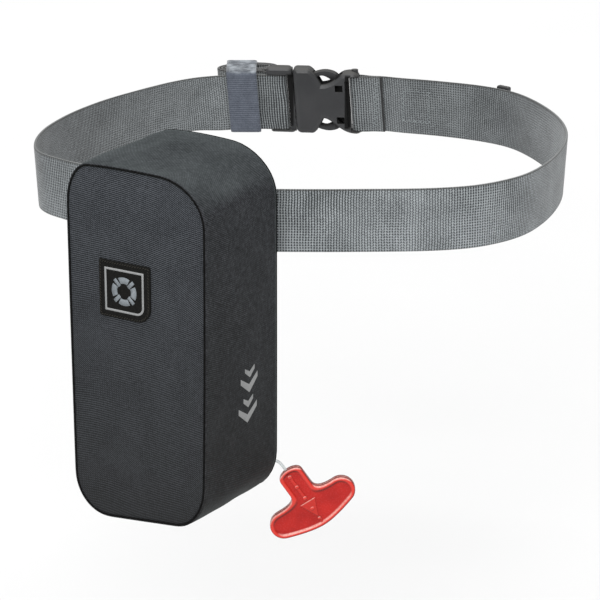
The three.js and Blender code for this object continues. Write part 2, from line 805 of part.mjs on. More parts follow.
// Handle outline drawn in by an inset: stem on top, lobes at both ends of the crossbar, curved belly
function handleShape(inset) {
  const radius = lobeRadius - inset;
  const half = stemHalf - inset;
  const top = stemTop - inset;
  const notchT = lobeRadius - 0.5 - inset;
  const shape = new THREE.Shape();
  const right = stemShift + half;
  const left = stemShift - half;
  shape.moveTo(right, notchT + 6);
  shape.lineTo(right, top - half * 0.8);
  shape.bezierCurveTo(right, top, left, top, left, top - half * 0.8);
  shape.lineTo(left, notchT + 6);
  shape.quadraticCurveTo(left, notchT, -lobeSpacing + 2, radius);
  shape.absarc(-lobeSpacing, 0, radius, Math.PI / 2, Math.PI * 1.4, false);
  shape.quadraticCurveTo(-lobeSpacing * 0.4, -handleBelly + inset, 0, -handleBelly + inset);
  shape.quadraticCurveTo(
    lobeSpacing * 0.4,
    -handleBelly + inset,
    lobeSpacing + radius * Math.cos(Math.PI * 0.4),
    -radius * Math.sin(Math.PI * 0.4),
  );
  shape.absarc(lobeSpacing, 0, radius, -Math.PI * 0.4, Math.PI / 2, false);
  shape.quadraticCurveTo(right, notchT, right, notchT + 6);
  return shape;
}

function handleGeometry() {
  let body = toSolid(plateGeometry(handleShape(0), handleThick, 1.1, 2, 5));
  const pocketThick = handleRecess * 2;
  for (const side of [-1, 1]) {
    const pocket = plateGeometry(handleShape(handleRim), pocketThick, 0.4, 1, 5);
    pocket.translate(0, (side * handleThick) / 2, 0);
    body = body.subtract(toSolid(pocket));
  }
  const rib = roundedRect(-0.9, 0.9, lobeRadius - 0.5, stemTop - 6.3, 0.8);
  body = body.add(toSolid(plateGeometry(rib, handleThick - 0.5, 0.4, 1, 3)));
  const boss = new THREE.Shape();
  const bossPoints = [[0, -6.8], [5.3, 5.3], [-5.5, 5.4]];
  boss.setFromPoints(bossPoints.map(([x, z]) => new THREE.Vector2(x, z)));
  body = body.add(toSolid(plateGeometry(boss, handleThick - 0.7, 0.4, 1, 3)));
  const hole = postSolid(cordRadius + clearance, 0, 0, cordSeat);
  body = body.subtract(hole.translate(0, 0, stemTop - 2.3));
  return toGeometry(body);
}

// A hole down the stem takes the cord's end
const handleAngle = handleTilt * degrees;

function stemPoint(height) {
  return new THREE.Vector3(
    handleX - Math.sin(handleAngle) * height,
    handleY,
    handleZ + Math.cos(handleAngle) * height,
  );
}

const handle = new THREE.Group();
handle.position.set(handleX, handleY, handleZ);
handle.rotation.y = -handleAngle;
pack.add(handle);
addMesh(handle, 'pull_handle', handleGeometry(), 'red');

// Cord from the back of the pouch into the handle's stem
function cordGeometry() {
  const route = new THREE.CatmullRomCurve3([
    ...cordRoute.map((p) => new THREE.Vector3(...p)),
    stemPoint(stemTop + 2),
    stemPoint(stemTop - 1.6),
    stemPoint(stemTop - cordSeat - 1),
  ]);
  const section = new THREE.Shape();
  section.absarc(0, 0, cordRadius, 0, 2 * Math.PI, false);
  return new THREE.ExtrudeGeometry(section, {
    extrudePath: route,
    steps: 24,
    curveSegments: 8,
    bevelEnabled: false,
  });
}

addMesh(pack, 'pull_cord', cordGeometry(), 'cord');

export default pack;
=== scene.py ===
import math

import bpy
import numpy as np
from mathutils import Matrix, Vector, geometry, noise
from mathutils.bvhtree import BVHTree


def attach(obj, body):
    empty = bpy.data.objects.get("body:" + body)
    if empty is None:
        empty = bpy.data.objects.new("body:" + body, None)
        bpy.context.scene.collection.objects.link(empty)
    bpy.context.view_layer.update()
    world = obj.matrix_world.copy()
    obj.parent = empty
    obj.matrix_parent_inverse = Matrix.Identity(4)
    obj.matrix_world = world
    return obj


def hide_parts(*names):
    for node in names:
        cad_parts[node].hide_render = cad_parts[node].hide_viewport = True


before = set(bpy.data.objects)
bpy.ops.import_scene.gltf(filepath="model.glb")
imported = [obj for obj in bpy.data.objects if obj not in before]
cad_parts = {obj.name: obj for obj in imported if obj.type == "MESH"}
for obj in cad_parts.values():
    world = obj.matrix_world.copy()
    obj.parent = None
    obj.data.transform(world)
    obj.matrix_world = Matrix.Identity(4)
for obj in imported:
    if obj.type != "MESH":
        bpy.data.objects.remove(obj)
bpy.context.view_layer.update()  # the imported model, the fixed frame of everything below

mm = 0.001
clothSpan = 40  # millimetres of cloth in one unit of the clothWay map
scene = bpy.context.scene
scene.view_settings.view_transform = "Standard"


# Helpers for meshes: points in millimetres, written in metres
def plainList(points):
    return [[float(x) for x in p] for p in points]


def newPiece(name, points, faces, look=None, uvs=None, smooth=True):
    mesh = bpy.data.meshes.new(name)
    mesh.from_pydata([tuple(x * mm for x in p) for p in plainList(points)], [], faces)
    mesh.validate()
    if uvs is not None:
        layer = mesh.uv_layers.new(name="clothWay")
        corners = np.empty(len(mesh.loops), int)
        mesh.loops.foreach_get("vertex_index", corners)
        layer.uv.foreach_set("vector", np.asarray(uvs, np.float32)[corners].ravel())
    mesh.polygons.foreach_set("use_smooth", [smooth] * len(mesh.polygons))
    mesh.update()
    piece = bpy.data.objects.new(name, mesh)
    scene.collection.objects.link(piece)
    if look:
        mesh.materials.append(look)
    return piece


def settle(piece, slot, *nodes):
    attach(piece, "root")
    if nodes:
        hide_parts(*nodes)
    return piece


def sharpAt(piece, degrees):
    piece.data.set_sharp_from_angle(angle=math.radians(degrees))
    return piece


def surfaceOf(piece):
    return BVHTree.FromObject(piece, bpy.context.evaluated_depsgraph_get())


def sweepFaces(rings, around, joined=False, caps=True):
    faces = []
    for i in range(rings if joined else rings - 1):
        a, b = i * around, (i + 1) % rings * around
        for j in range(around):
            k = (j + 1) % around
            faces.append((a + j, a + k, b + k, b + j))
    if caps and not joined:
        faces.append(tuple(range(around))[::-1])
        faces.append(tuple(range((rings - 1) * around, rings * around)))
    return faces


# Helpers for lines
def smoothstep(x, low, high):
    t = min(max((x - low) / (high - low), 0), 1)
    return t * t * (3 - 2 * t)


def mixed(a, b, t):
    return a + (b - a) * t


def unit(v):
    return v / np.linalg.norm(v)


def turned(x, y, degrees):
    turn = math.radians(degrees)
    return x * math.cos(turn) - y * math.sin(turn), x * math.sin(turn) + y * math.cos(turn)


# Part of an ellipse, angles in degrees
def arcLine(cx, cz, rx, rz, start, end, steps, first=0):
    turns = [math.radians(start + (end - start) * i / steps) for i in range(first, steps + 1)]
    return [(cx + rx * math.cos(a), cz + rz * math.sin(a)) for a in turns]


# Centripetal curve through the points, the same line as the CAD follows
def smoothLine(points, perSpan):
    p = np.array(points, float)
    p = np.vstack([2 * p[0] - p[1], p, 2 * p[-1] - p[-2]])
    line = []
    for i in range(1, len(p) - 2):
        a, b, c, d = p[i - 1:i + 3]
        ta, tb, tc = [max(np.linalg.norm(y - x), 1e-6) ** 0.5 for x, y in ((a, b), (b, c), (c, d))]
        m1 = ((b - a) / ta - (c - a) / (ta + tb) + (c - b) / tb) * tb
        m2 = ((c - b) / tb - (d - b) / (tb + tc) + (d - c) / tc) * tb
        for k in range(perSpan):
            t = k / perSpan
            line.append(b + m1 * t + (3 * (c - b) - 2 * m1 - m2) * t ** 2 + (2 * (b - c) + m1 + m2) * t ** 3)
    return np.array([*line, p[-2]])


# Even stations along a line, with the length reached at each
def evenLine(line, spacing=None, count=None, closed=False):
    line = np.array(line, float)
    if closed:
        line = np.vstack([line, line[:1]])
    reach = np.concatenate([[0], np.cumsum(np.linalg.norm(np.diff(line, axis=0), axis=1))])
    total = count or int(round(reach[-1] / spacing))
    at = np.linspace(0, reach[-1], total + 1)
    if closed:
        at = at[:-1]
    return np.stack([np.interp(at, reach, line[:, k]) for k in range(line.shape[1])], 1), at


# Helpers for materials: a socket knows its own tree, so most calls need not name it
def addNode(kind, inputs, tree=None, **settings):
    tree = tree or next(v.id_data for v in inputs.values() if isinstance(v, bpy.types.NodeSocket))
    node = tree.nodes.new("ShaderNode" + kind)
    for key, value in settings.items():
        setattr(node, key, value)
    for key, value in inputs.items():
        if isinstance(value, bpy.types.NodeSocket):
            tree.links.new(value, node.inputs[key])
        else:
            node.inputs[key].default_value = value
    return node


# A new material with its fixed numbers, and the object's own coordinates in it
def newLook(name, **constants):
    look = bpy.data.materials.new(name)
    look.use_nodes = True
    for key, value in constants.items():
        look.node_tree.nodes["Principled BSDF"].inputs[key.replace("_", " ")].default_value = value
    return look, addNode("TexCoord", {}, look.node_tree).outputs["Object"]


def linkLook(look, **sockets):
    for key, socket in sockets.items():
        look.node_tree.links.new(socket, look.node_tree.nodes["Principled BSDF"].inputs[key.replace("_", " ")])
    return look


def clothWay(look):
    return addNode("UVMap", {}, look.node_tree, uv_map="clothWay").outputs["UV"]


def normalWay(look):
    return addNode("NewGeometry", {}, look.node_tree).outputs["Normal"]


def axisOf(way, axis):
    return addNode("SeparateXYZ", {"Vector": way}).outputs[axis]


def noiseOf(way, scale, detail=3, rough=0.5):
    return addNode("TexNoise", {"Vector": way, "Scale": scale, "Detail": detail, "Roughness": rough}).outputs["Fac"]


def mathOf(action, a, b=0.5):
    return addNode("Math", {0: a, 1: b}, operation=action).outputs[0]


def plus(a, b):
    return mathOf("ADD", a, b)


def minus(a, b):
    return mathOf("SUBTRACT", a, b)


def times(a, b):
    return mathOf("MULTIPLY", a, b)


def awayFrom(value, middle):
    return mathOf("ABSOLUTE", minus(value, middle))


def sineOf(value, period):
    return mathOf("SINE", times(value, 2 * math.pi / period))


# Sum of values, each by its share
def weighed(*pairs):
    total = times(*pairs[0])
    for value, share in pairs[1:]:
        total = plus(total, times(value, share))
    return total


# The same for noises, which swing about their middle
def stirred(total, *pairs):
    for value, depth in pairs:
        total = plus(total, times(minus(value, 0.5), depth))
    return total


def rangeOf(value, low, high, toLow, toHigh):
    return addNode("MapRange", {"Value": value, "From Min": low, "From Max": high,
                                "To Min": toLow, "To Max": toHigh}).outputs["Result"]


def rampOf(factor, *stops):
    node = addNode("ValToRGB", {"Fac": factor})
    while len(node.color_ramp.elements) < len(stops):
        node.color_ramp.elements.new(0.5)
    for element, (place, colour) in zip(node.color_ramp.elements, stops):
        element.position = place
        element.color = (*colour, 1)
    return node.outputs["Color"]


def blendOf(factor, a, b):
    tree = factor.id_data
    node = addNode("Mix", {}, tree, data_type="RGBA")
    for key, value in (("Factor_Float", factor), ("A_Color", a), ("B_Color", b)):
        socket = next(s for s in node.inputs if s.identifier == key)
        if isinstance(value, bpy.types.NodeSocket):
            tree.links.new(value, socket)
        else:
            socket.default_value = (*value, 1)
    return next(s for s in node.outputs if s.identifier == "Result_Color")


def bumpOf(height, distance, strength):
    return addNode("Bump", {"Height": height, "Distance": distance, "Strength": strength}).outputs["Normal"]


# Plain look of one grain: two tones and a fine relief
def grainLook(name, grain, dark, light, ends=(0.3, 0.7), relief=(0.0001, 0.6), **constants):
    look, object = newLook(name, **constants)
    grain = noiseOf(object, *grain)
    return linkLook(look, Base_Color=rampOf(grain, (ends[0], dark), (ends[1], light)), Normal=bumpOf(grain, *relief))


# Camera, as fitted to the belt and the pouch
shot = {"place": (0, -1.5712, 0.455), "tilt": 70.7, "lens": 156, "sensor": 36}
camera = bpy.data.objects.new("photoCamera", bpy.data.cameras.new("photoCamera"))
camera.location = shot["place"]
camera.rotation_euler = (math.radians(shot["tilt"]), 0, 0)
camera.data.lens = shot["lens"]
camera.data.sensor_width = shot["sensor"]
scene.collection.objects.link(camera)
scene.camera = camera
print("camera set")

# Cord: a short clear line from under the pouch into the handle's stem
cordForm = {
    "radius": 0.9,
    "route": [(-32.0, -138.1, -150.5), (-31.2, -136.6, -150.4), (-29.9, -135.0, -150.0),
              (-27.6, -134.4, -149.4), (-24.6, -135.2, -148.7), (-21.2, -136.8, -148.1),
              (-17.8, -138.4, -147.7), (-14.9, -139.5, -147.7), (-12.6, -140.0, -148.6),
              (-10.56, -140.0, -150.82), (-8.55, -140.0, -153.81), (-6.54, -140.0, -156.79)],
    "milkDark": (0.72, 0.77, 0.77), "milkLight": (0.9, 0.93, 0.93), "rim": (0.35, 0.38, 0.38),
    "clouds": (900, 4), "edgeShadeShare": 0.75,
}


def cordLook():
    look, object = newLook("milkyClearLine", Roughness=0.18, Transmission_Weight=0.55, IOR=1.45,
                           Coat_Weight=0.4, Coat_Roughness=0.1)
    cloud = noiseOf(object, *cordForm["clouds"])
    # painted shade: the cord's sides, turned from view, blend towards the darker rim grey
    edge = addNode("LayerWeight", {"Blend": 0.35}, look.node_tree).outputs["Facing"]
    milk = rampOf(cloud, (0.3, cordForm["milkDark"]), (0.7, cordForm["milkLight"]))
    return linkLook(look, Base_Color=blendOf(times(edge, cordForm["edgeShadeShare"]), milk, cordForm["rim"]),
                    Normal=bumpOf(cloud, 0.0001, 0.4))


def makeCord():
    route = smoothLine(cordForm["route"], 3)
    curve = bpy.data.curves.new("cord", "CURVE")
    curve.dimensions = "3D"
    curve.bevel_depth = cordForm["radius"] * mm
    curve.bevel_resolution = 4
    curve.use_fill_caps = True
    line = curve.splines.new("POLY")
    line.points.add(len(route) - 1)
    for point, place in zip(line.points, route):
        point.co = (*(place * mm), 1)
    line.use_smooth = True
    cord = bpy.data.objects.new("pullCord", curve)
    scene.collection.objects.link(cord)
    curve.materials.append(cordLook())
    settle(cord, "clear_cord", "pull_cord")
    reach = float(np.linalg.norm(np.diff(route, axis=0), axis=1).sum())
    return cord, [float(x) * mm for x in route[0]], reach * mm


pullCord, cordExit, cordLength = makeCord()
print("cord routed, metres:", round(cordLength, 4))

# Belt webbing on edge round the waist, folded over the buckle's two bars
beltForm = {
    "width": 38, "thick": 1.8, "gap": 0.35, "halfWaist": (165, 132.5),
    "sideLean": 0.05, "buckleLean": 0.075, "backLean": 0.18,
    "right": [(0.409, 0.942), (0.567, 0.876), (0.735, 0.777), (0.841, 0.668), (0.915, 0.503),
              (0.984, 0.219), (1.0, -0.053), (0.972, -0.29), (0.888, -0.589), (0.787, -0.789),
              (0.64, -0.926), (0.491, -0.98), (0.2, -1.0), (-0.06, -1.0)],
    "left": [(-0.797, -0.596), (-0.872, -0.519), (-0.937, -0.435), (-0.968, -0.355), (-0.979, -0.22),
             (-0.969, -0.07), (-0.944, 0.06), (-0.878, 0.27), (-0.779, 0.485), (-0.67, 0.66),
             (-0.52, 0.855), (-0.4, 0.955), (-0.24, 1.01)],
    "sleeveAt": -61.64, "sleeveStops": (27.2, 22.4, 0, -22.4, -27.2), "sleeveGap": 0.6,
    "leanFrom": 0.6, "uprightNear": (72, 110), "kickFrom": (0.32, 0.46), "kickTo": (0.66, 0.9),
    # the weave: cross ribs and the rows of points between the two edges
    "ribPitch": 1.63, "ribHeight": 0.07, "stationsPerRib": 4, "edgeShare": 0.62,
    "rows": (-0.985, -0.95, -0.7, -0.35, 0, 0.35, 0.7, 0.95, 0.985), "wave": 0.8, "wildWave": 3.4,
    "wildAt": -25, "wildFade": (25, 60), "slowWaves": ((0.5, 0.31, 0.045), (0.3, 0.83, 0.11)),
    # its look: noises as scale, detail and roughness, depths of tone, and tones; the sealed tone is partly painted
    # shadow, and the shoulder and shade tones and the bend share are painted shade and highlight
    "clouds": (55, 3), "flecks": (900, 2, 0.7), "stepping": (17, 1), "plainness": (13, 2),
    "grooveSharp": 1.4, "holeSharp": 1.3, "holeDepth": 1.15, "fleckDepth": 0.9, "cloudDepth": 0.5,
    "selvedge": (18.1, 19.0, 0, 0.45), "sealedEndAndShadow": (0.012, 0.013, 0.013), "shoulder": (0.016, 0.015, 0.014),
    "shade": (0.02, 0.021, 0.021), "farShade": 0.3, "bendHighlight": 0.3, "rightShade": 0.14, "tightRibs": 0.3,
}
buckleForm = {"x": 10, "y": 134, "rise": 1.7, "yaw": -6, "barU": 28.8, "plugBarU": -21.95, "wrap": 3.45,
              "foldU": 46.8, "foldLength": 18, "plugEnd": -31.55}
pouchForm = {"width": 92, "depth": 78, "top": 46.5, "bottom": -161.5, "yaw": 30, "back": (-13.2, -149.5),
             "bottomSlant": 7.9, "frontLift": 2.4, "leftTaper": 0.6, "rightTaper": 3.2, "archFront": 1.6,
             "archBack": 3.6, "stations": 120, "rings": 17, "seamInset": 0.9, "seamDepth": 1.0, "grid": 4.6,
             "sideSwell": 0.55, "startCrown": 1.4, "backCrown": 0.15, "crownCap": 2.2, "sideCap": 1.3,
             "clothWall": 1.2, "dent": 0.75, "sideDents": (0.028, 0.07), "sideCalm": 9, "panelDents": (0.03, 0.08),
             "panelCalm": 12, "frontDent": 0.5, "backDent": 0.1, "mostForward": 3.1,
             # right, up, shares of width and height, start angle, growth towards the back
             "corners": [(1, 1, 0.32, 0.125, 0, 1), (0, 1, 0.15, 0.11, 90, 1.5),
                         (0, 0, 0.26, 0.125, 180, 1), (1, 0, 0.21, 0.12, 270, 1)],
             "solver": {"quality": 6, "mass": 0.25, "tension_stiffness": 12, "compression_stiffness": 12,
                        "shear_stiffness": 6, "bending_stiffness": 0.8, "vertex_group_mass": "sewn",
                        "use_pressure": True, "uniform_pressure_force": 4.0}, "frames": 20}


def bucklePlan(u, v):
    x, y = turned(u, v, buckleForm["yaw"])
    return buckleForm["x"] + x, buckleForm["y"] + y


def pouchPlan(across, depth):
    turn = math.radians(pouchForm["yaw"])
    away = depth - pouchForm["depth"]
    return (pouchForm["back"][0] + across * math.cos(turn) + away * math.sin(turn),
            pouchForm["back"][1] - across * math.sin(turn) + away * math.cos(turn))


def barWrap(u, side):
    wrap = buckleForm["wrap"]
    turns = [math.radians(18 * i - 90) for i in range(1, 10)]
    return [bucklePlan(u + side * wrap * math.cos(a), wrap * math.sin(a)) for a in turns]


def beltLine():
    bar, wrap, fold, step, plugBar, plugEnd = (
        buckleForm[k] for k in ("barU", "wrap", "foldU", "foldLength", "plugBarU", "plugEnd"))
    layer = beltForm["thick"] + beltForm["gap"]
    foldLayer = smoothLine([bucklePlan(fold, -layer), bucklePlan(bar + step * 0.6, -layer + 0.25),
                            bucklePlan(bar + step * 0.25, -wrap + 0.35), bucklePlan(bar, -wrap)], 6)
    wide, deep = beltForm["halfWaist"]
    behind = pouchForm["depth"] + beltForm["sleeveGap"] + beltForm["thick"] / 2
    main = smoothLine([
        bucklePlan(bar, wrap), bucklePlan(bar + step * 0.25, wrap - 0.9), bucklePlan(bar + step * 0.6, 0.5),
        bucklePlan(fold, 0), *[(x * wide, y * deep) for x, y in beltForm["right"]],
        *[pouchPlan(beltForm["sleeveAt"] + stop, behind) for stop in beltForm["sleeveStops"]],
        *[(x * wide, y * deep) for x, y in beltForm["left"]],
        bucklePlan(plugEnd - 1, -wrap + 0.1), bucklePlan(plugBar, -wrap),
    ], 14)
    tail = [bucklePlan(plugBar, wrap), bucklePlan(plugBar - 3, wrap)]
    return np.vstack([foldLayer, barWrap(bar, -1), main, barWrap(plugBar, 1), tail]), main


# How far the belt leans from upright, round the waist and at the left rear
def leanAt(x, y):
    wide = beltForm["halfWaist"][0]
    side = smoothstep(abs(x), wide * beltForm["leanFrom"], wide)
    near = 1 - smoothstep(abs(x - buckleForm["x"]), *beltForm["uprightNear"])
    return beltForm["sideLean"] * side * math.copysign(1, x) - beltForm["buckleLean"] * near * (y > 0)


def kickAt(x, y):
    left = -x / beltForm["halfWaist"][0]
    share = smoothstep(left, *beltForm["kickFrom"]) * (1 - smoothstep(left, *beltForm["kickTo"]))
    return beltForm["backLean"] * share * (y > 0)


# The ribs waver a little, most of all either side of the band
def waverAt(reach, x, y, z):
    wild = (1 - smoothstep(abs(x - beltForm["wildAt"]), *beltForm["wildFade"])) * (y > 0)
    wave = beltForm["wave"] + beltForm["wildWave"] * wild
    slow = sum(size * math.sin(z * up + reach * on) for size, up, on in beltForm["slowWaves"])
    return slow + wave * noise.noise(Vector((reach * 0.06, z * 0.16, 3)))


# Ribbed strip: the cross ribs are real relief, one row of weft each
def ribbedStrip(name, line, look, liftAt=None):
    pitch, half, thick = beltForm["ribPitch"], beltForm["width"] / 2, beltForm["thick"] / 2
    path, reach = evenLine(line, spacing=pitch / beltForm["stationsPerRib"])
    rows = [half * share for share in beltForm["rows"]]
    edge = (beltForm["edgeShare"], 0, -beltForm["edgeShare"])
    section = [(1, z) for z in rows] + [(side, half) for side in edge]
    section += [(-1, z) for z in rows[::-1]] + [(-side, -half) for side in edge]
    points, uvs = [], []
    for i, (x, y) in enumerate(path):
        along = unit(path[min(i + 1, len(path) - 1)] - path[max(i - 1, 0)])
        lift = liftAt(reach[i]) if liftAt else 0
        lean = -beltForm["buckleLean"] if liftAt else leanAt(x, y)
        kick = 0 if liftAt else kickAt(x, y)
        for side, z in section:
            waver = waverAt(reach[i], x, y, z)
            ribbed = abs(side) == 1 and abs(z) < half * 0.97
            rib = math.cos(2 * math.pi * reach[i] / pitch + waver) if ribbed else 0
            out = side * thick + math.copysign(rib * beltForm["ribHeight"], side or 1) - side * 0.1
            top = z + lift
            points.append((x - along[1] * out + lean * top, y + along[0] * out + kick * (half - z), top))
            uvs.append(((reach[i] + waver * pitch / (2 * math.pi)) / clothSpan, z / clothSpan + 0.5))
    return newPiece(name, points, sweepFaces(len(path), len(section)), look, uvs)


def webbingLook(name, light, dark, selvedgeTone, shoulderShadeDepth):
    f, pitch = beltForm, beltForm["ribPitch"]
    look, object = newLook(name, Roughness=0.75, Sheen_Weight=0.25, Sheen_Roughness=0.5, Specular_IOR_Level=0.3)
    along, across = [times(axisOf(clothWay(look), axis), clothSpan) for axis in "XY"]
    x, y = axisOf(object, "X"), axisOf(object, "Y")
    cloud, fleck = noiseOf(object, *f["clouds"]), noiseOf(object, *f["flecks"])
    # rows step sideways in some places and line up in others
    row = mathOf("FLOOR", plus(mathOf("DIVIDE", along, pitch), 0.5))
    stagger = rangeOf(noiseOf(object, *f["stepping"]), 0.42, 0.58, 0, pitch / 2)
    yarn = sineOf(plus(across, times(mathOf("ABSOLUTE", mathOf("MODULO", row, 2)), stagger)), pitch)
    rib = mathOf("COSINE", times(along, 2 * math.pi / pitch))
    groove = mathOf("POWER", minus(0.5, times(rib, 0.5)), f["grooveSharp"])
    hole = times(groove, mathOf("POWER", plus(times(yarn, 0.5), 0.5), f["holeSharp"]))
    # pulled tight before the plug, so that its ribs stand apart there
    tight = times(rangeOf(x, -0.034, -0.024, 0, f["tightRibs"]), rangeOf(x, 0.03, 0.05, 1, 0))
    tight = times(tight, rangeOf(y, 0.09, 0.11, 0, 1))
    plain = plus(rangeOf(noiseOf(object, *f["plainness"]), 0.4, 0.6, 0.08, 0.5), tight)
    weave = minus(minus(0.72, times(hole, f["holeDepth"])), times(groove, plain))
    weave = stirred(weave, (fleck, f["fleckDepth"]), (cloud, f["cloudDepth"]))
    middle = tuple((a + b) / 2 for a, b in zip(light, dark))
    tone = rampOf(weave, (0.08, dark), (0.5, middle), (0.92, light))
    tone = blendOf(rangeOf(awayFrom(across, clothSpan / 2), *f["selvedge"]), tone, selvedgeTone)
    tone = blendOf(rangeOf(along, 1.2, 1.8, 0.96, 0), tone, f["sealedEndAndShadow"])  # cut end, sealed with heat, darker still as a painted shadow line at the end
    # painted shade on the far run, more at its right end, and a painted highlight on the right bend
    shade = rangeOf(y, -0.12, -0.02, 0, f["farShade"])
    bend = times(rangeOf(x, 0.11, 0.155, 0, 1), rangeOf(y, 0, 0.06, 1, 0))
    shade = minus(shade, times(bend, f["bendHighlight"]))
    shade = plus(shade, times(rangeOf(x, 0.04, 0.1, 0, 1), rangeOf(y, 0.03, 0.08, 0, f["rightShade"])))
    tone = blendOf(shade, tone, f["shade"])
    # selvedge from above: a fuzzy middle between two rounded shoulders darkened as painted shade where they turn
    # from the light
    shoulder = awayFrom(axisOf(normalWay(look), "Z"), 0.5)
    tone = blendOf(rangeOf(shoulder, 0.25, 0.45, shoulderShadeDepth, 0), tone, f["shoulder"])
    return linkLook(look, Base_Color=tone, Roughness=rangeOf(fleck, 0.3, 0.7, 0.66, 0.86),
                    Normal=bumpOf(weighed((yarn, 0.5), (fleck, 0.8)), 0.00022, 0.8))


greyWebbing = webbingLook("greyWebbing", (0.4, 0.43, 0.445), (0.02, 0.025, 0.027), (0.17, 0.17, 0.16), 0.7)
fullBeltLine, mainBeltLine = beltLine()
waistBelt = settle(ribbedStrip("waistBelt", fullBeltLine, greyWebbing), "webbing", "belt_webbing")
print("belt woven:", len(waistBelt.data.polygons), "faces")

# Spare end of the belt, rolled in an oval behind the left of the buckle
rollForm = {"x": -33.5, "halfLength": 21.3, "halfDepth": 12.2, "tilt": 12, "turns": 3.3, "pitch": 2.4,
            "rise": 1.5, "riseOver": (4, 14), "stationsPerTurn": 56}


def rollMiddle():
    far = mainBeltLine[mainBeltLine[:, 1] > 0]
    beltY = far[np.abs(far[:, 0] - rollForm["x"]).argmin(), 1]
    tilt = math.radians(rollForm["tilt"])
    extent = math.hypot(rollForm["halfDepth"] * math.cos(tilt), rollForm["halfLength"] * math.sin(tilt))
    return beltY + beltForm["thick"] + beltForm["gap"] + 0.6 + extent


def rollPoint(turn, middle):
    angle = -math.pi / 2 - turn * 2 * math.pi
    x, y = turned((rollForm["halfLength"] - rollForm["pitch"] * turn) * math.cos(angle),
                  (rollForm["halfDepth"] - rollForm["pitch"] * turn) * math.sin(angle), rollForm["tilt"])
    return rollForm["x"] + x, middle + y


def rollLine():
    middle, wrap, perTurn = rollMiddle(), buckleForm["wrap"], rollForm["stationsPerTurn"]
    lead = smoothLine([bucklePlan(buckleForm["plugBarU"] - 3 - beltForm["gap"], wrap),
                       bucklePlan(buckleForm["plugEnd"] - 2, wrap + 0.3), rollPoint(0, middle)], 8)
    steps = int(rollForm["turns"] * perTurn)
    return np.vstack([lead, [rollPoint(i / perTurn, middle) for i in range(1, steps + 1)]])


spareLine = rollLine()
# a darker copy of the belt's webbing for the roll as painted shade: its selvedge darker and browner for the shadow
# between the turns, its shoulders more shaded
shadedCoilWebbing = webbingLook("shadedCoilWebbing", (0.36, 0.38, 0.39), (0.018, 0.021, 0.022), (0.085, 0.08, 0.072), 0.95)
settle(ribbedStrip("rolledSpareEnd", spareLine, shadedCoilWebbing,
                   lambda reach: rollForm["rise"] * smoothstep(reach, *rollForm["riseOver"])),
       "webbing", "belt_tail_roll")
print("spare end rolled")

# Hook-and-loop band that holds the roll to the belt, finely ribbed, its top fuzzy with loops
bandForm = {"x": -38, "width": 20.3, "thick": 1.4, "corner": 3, "pitch": 1.45, "relief": 0.09, "edgeSink": 0.35,
            "stationsAcross": 12, "dark": (0.05, 0.057, 0.075), "light": (0.15, 0.168, 0.205),
            "fluffDark": (0.09, 0.1, 0.115), "fluffLight": (0.34, 0.37, 0.4), "fluffFrom": 0.0203,
            "fuzz": (1400, 3, 0.7), "mottle": (260, 4, 0.6), "patches": (120, 2), "ragged": 0.002}


def roundedLoop(left, right, low, high, corner, steps=6):
    places = [(right - corner, high - corner), (left + corner, high - corner),
              (left + corner, low + corner), (right - corner, low + corner)]
    return [p for k, (cx, cz) in enumerate(places)
            for p in arcLine(cx, cz, corner, corner, 90 * k, 90 * k + 90, steps)]


def bandPiece(look):
    wall, half, x0 = bandForm["thick"], bandForm["width"] / 2, bandForm["x"]
    reachOut = beltForm["width"] / 2 + beltForm["gap"] + wall
    layer = beltForm["thick"] / 2 + beltForm["gap"] + wall
    far = mainBeltLine[(mainBeltLine[:, 1] > 0) & (np.abs(mainBeltLine[:, 0] - x0) < half + 3)]
    back = spareLine[np.abs(spareLine[:, 0] - x0) < half + 3]
    outline = roundedLoop(far[:, 1].min() - layer, back[:, 1].max() + layer,
                          -reachOut, reachOut + rollForm["rise"], bandForm["corner"])
    loop, reach = evenLine(outline, spacing=bandForm["pitch"] / 4, closed=True)
    across = [half * (2 * k / bandForm["stationsAcross"] - 1) for k in range(bandForm["stationsAcross"] + 1)]
    section = [(x, 0) for x in across] + [(x, wall * 0.92) for x in across[::-1]]
    points, uvs = [], []
    for i, (y, z) in enumerate(loop):
        along = unit(loop[(i + 1) % len(loop)] - loop[i - 1])
        for x, depth in section:
            edge = 1 - min(1, (half - abs(x)) / 1.2)
            rib = math.cos(2 * math.pi * reach[i] / bandForm["pitch"] + 0.35 * math.sin(x * 0.5))
            relief = bandForm["relief"] * (1 - rib) * (1 - edge) + bandForm["edgeSink"] * edge * edge
            sink = depth or relief
            py, pz = y - along[1] * sink, z + along[0] * sink
            points.append((x0 + x - beltForm["buckleLean"] * pz, py, pz))
            uvs.append((reach[i] / clothSpan, x / clothSpan + 0.5))
    return newPiece("tailBand", points, sweepFaces(len(loop), len(section), joined=True), look, uvs)


def bandLook():
    f = bandForm
    look, object = newLook("slateLoopBand", Roughness=0.9, Sheen_Weight=0.35, Sheen_Roughness=0.4,
                           Specular_IOR_Level=0.2)
    rib = mathOf("COSINE", times(axisOf(clothWay(look), "X"), clothSpan * 2 * math.pi / f["pitch"]))
    fuzz, mottle, patch = [noiseOf(object, *f[key]) for key in ("fuzz", "mottle", "patches")]
    body = rampOf(weighed((rib, 0.13), (fuzz, 0.6), (mottle, 0.4)), (0.25, f["dark"]), (0.75, f["light"]))
    fluff = rampOf(weighed((patch, 0.6), (mottle, 0.4)), (0.4, f["fluffDark"]), (0.62, f["fluffLight"]))
    height = stirred(axisOf(object, "Z"), (mottle, f["ragged"]))
    top = rangeOf(height, f["fluffFrom"], f["fluffFrom"] + 0.0015, 0, 0.9)
    return linkLook(look, Base_Color=blendOf(top, body, fluff), Roughness=rangeOf(mottle, 0.3, 0.7, 0.82, 0.97),
                    Normal=bumpOf(plus(fuzz, mottle), 0.0003, 0.8))


settle(bandPiece(bandLook()), "band", "tail_band")
print("band closed round the roll")


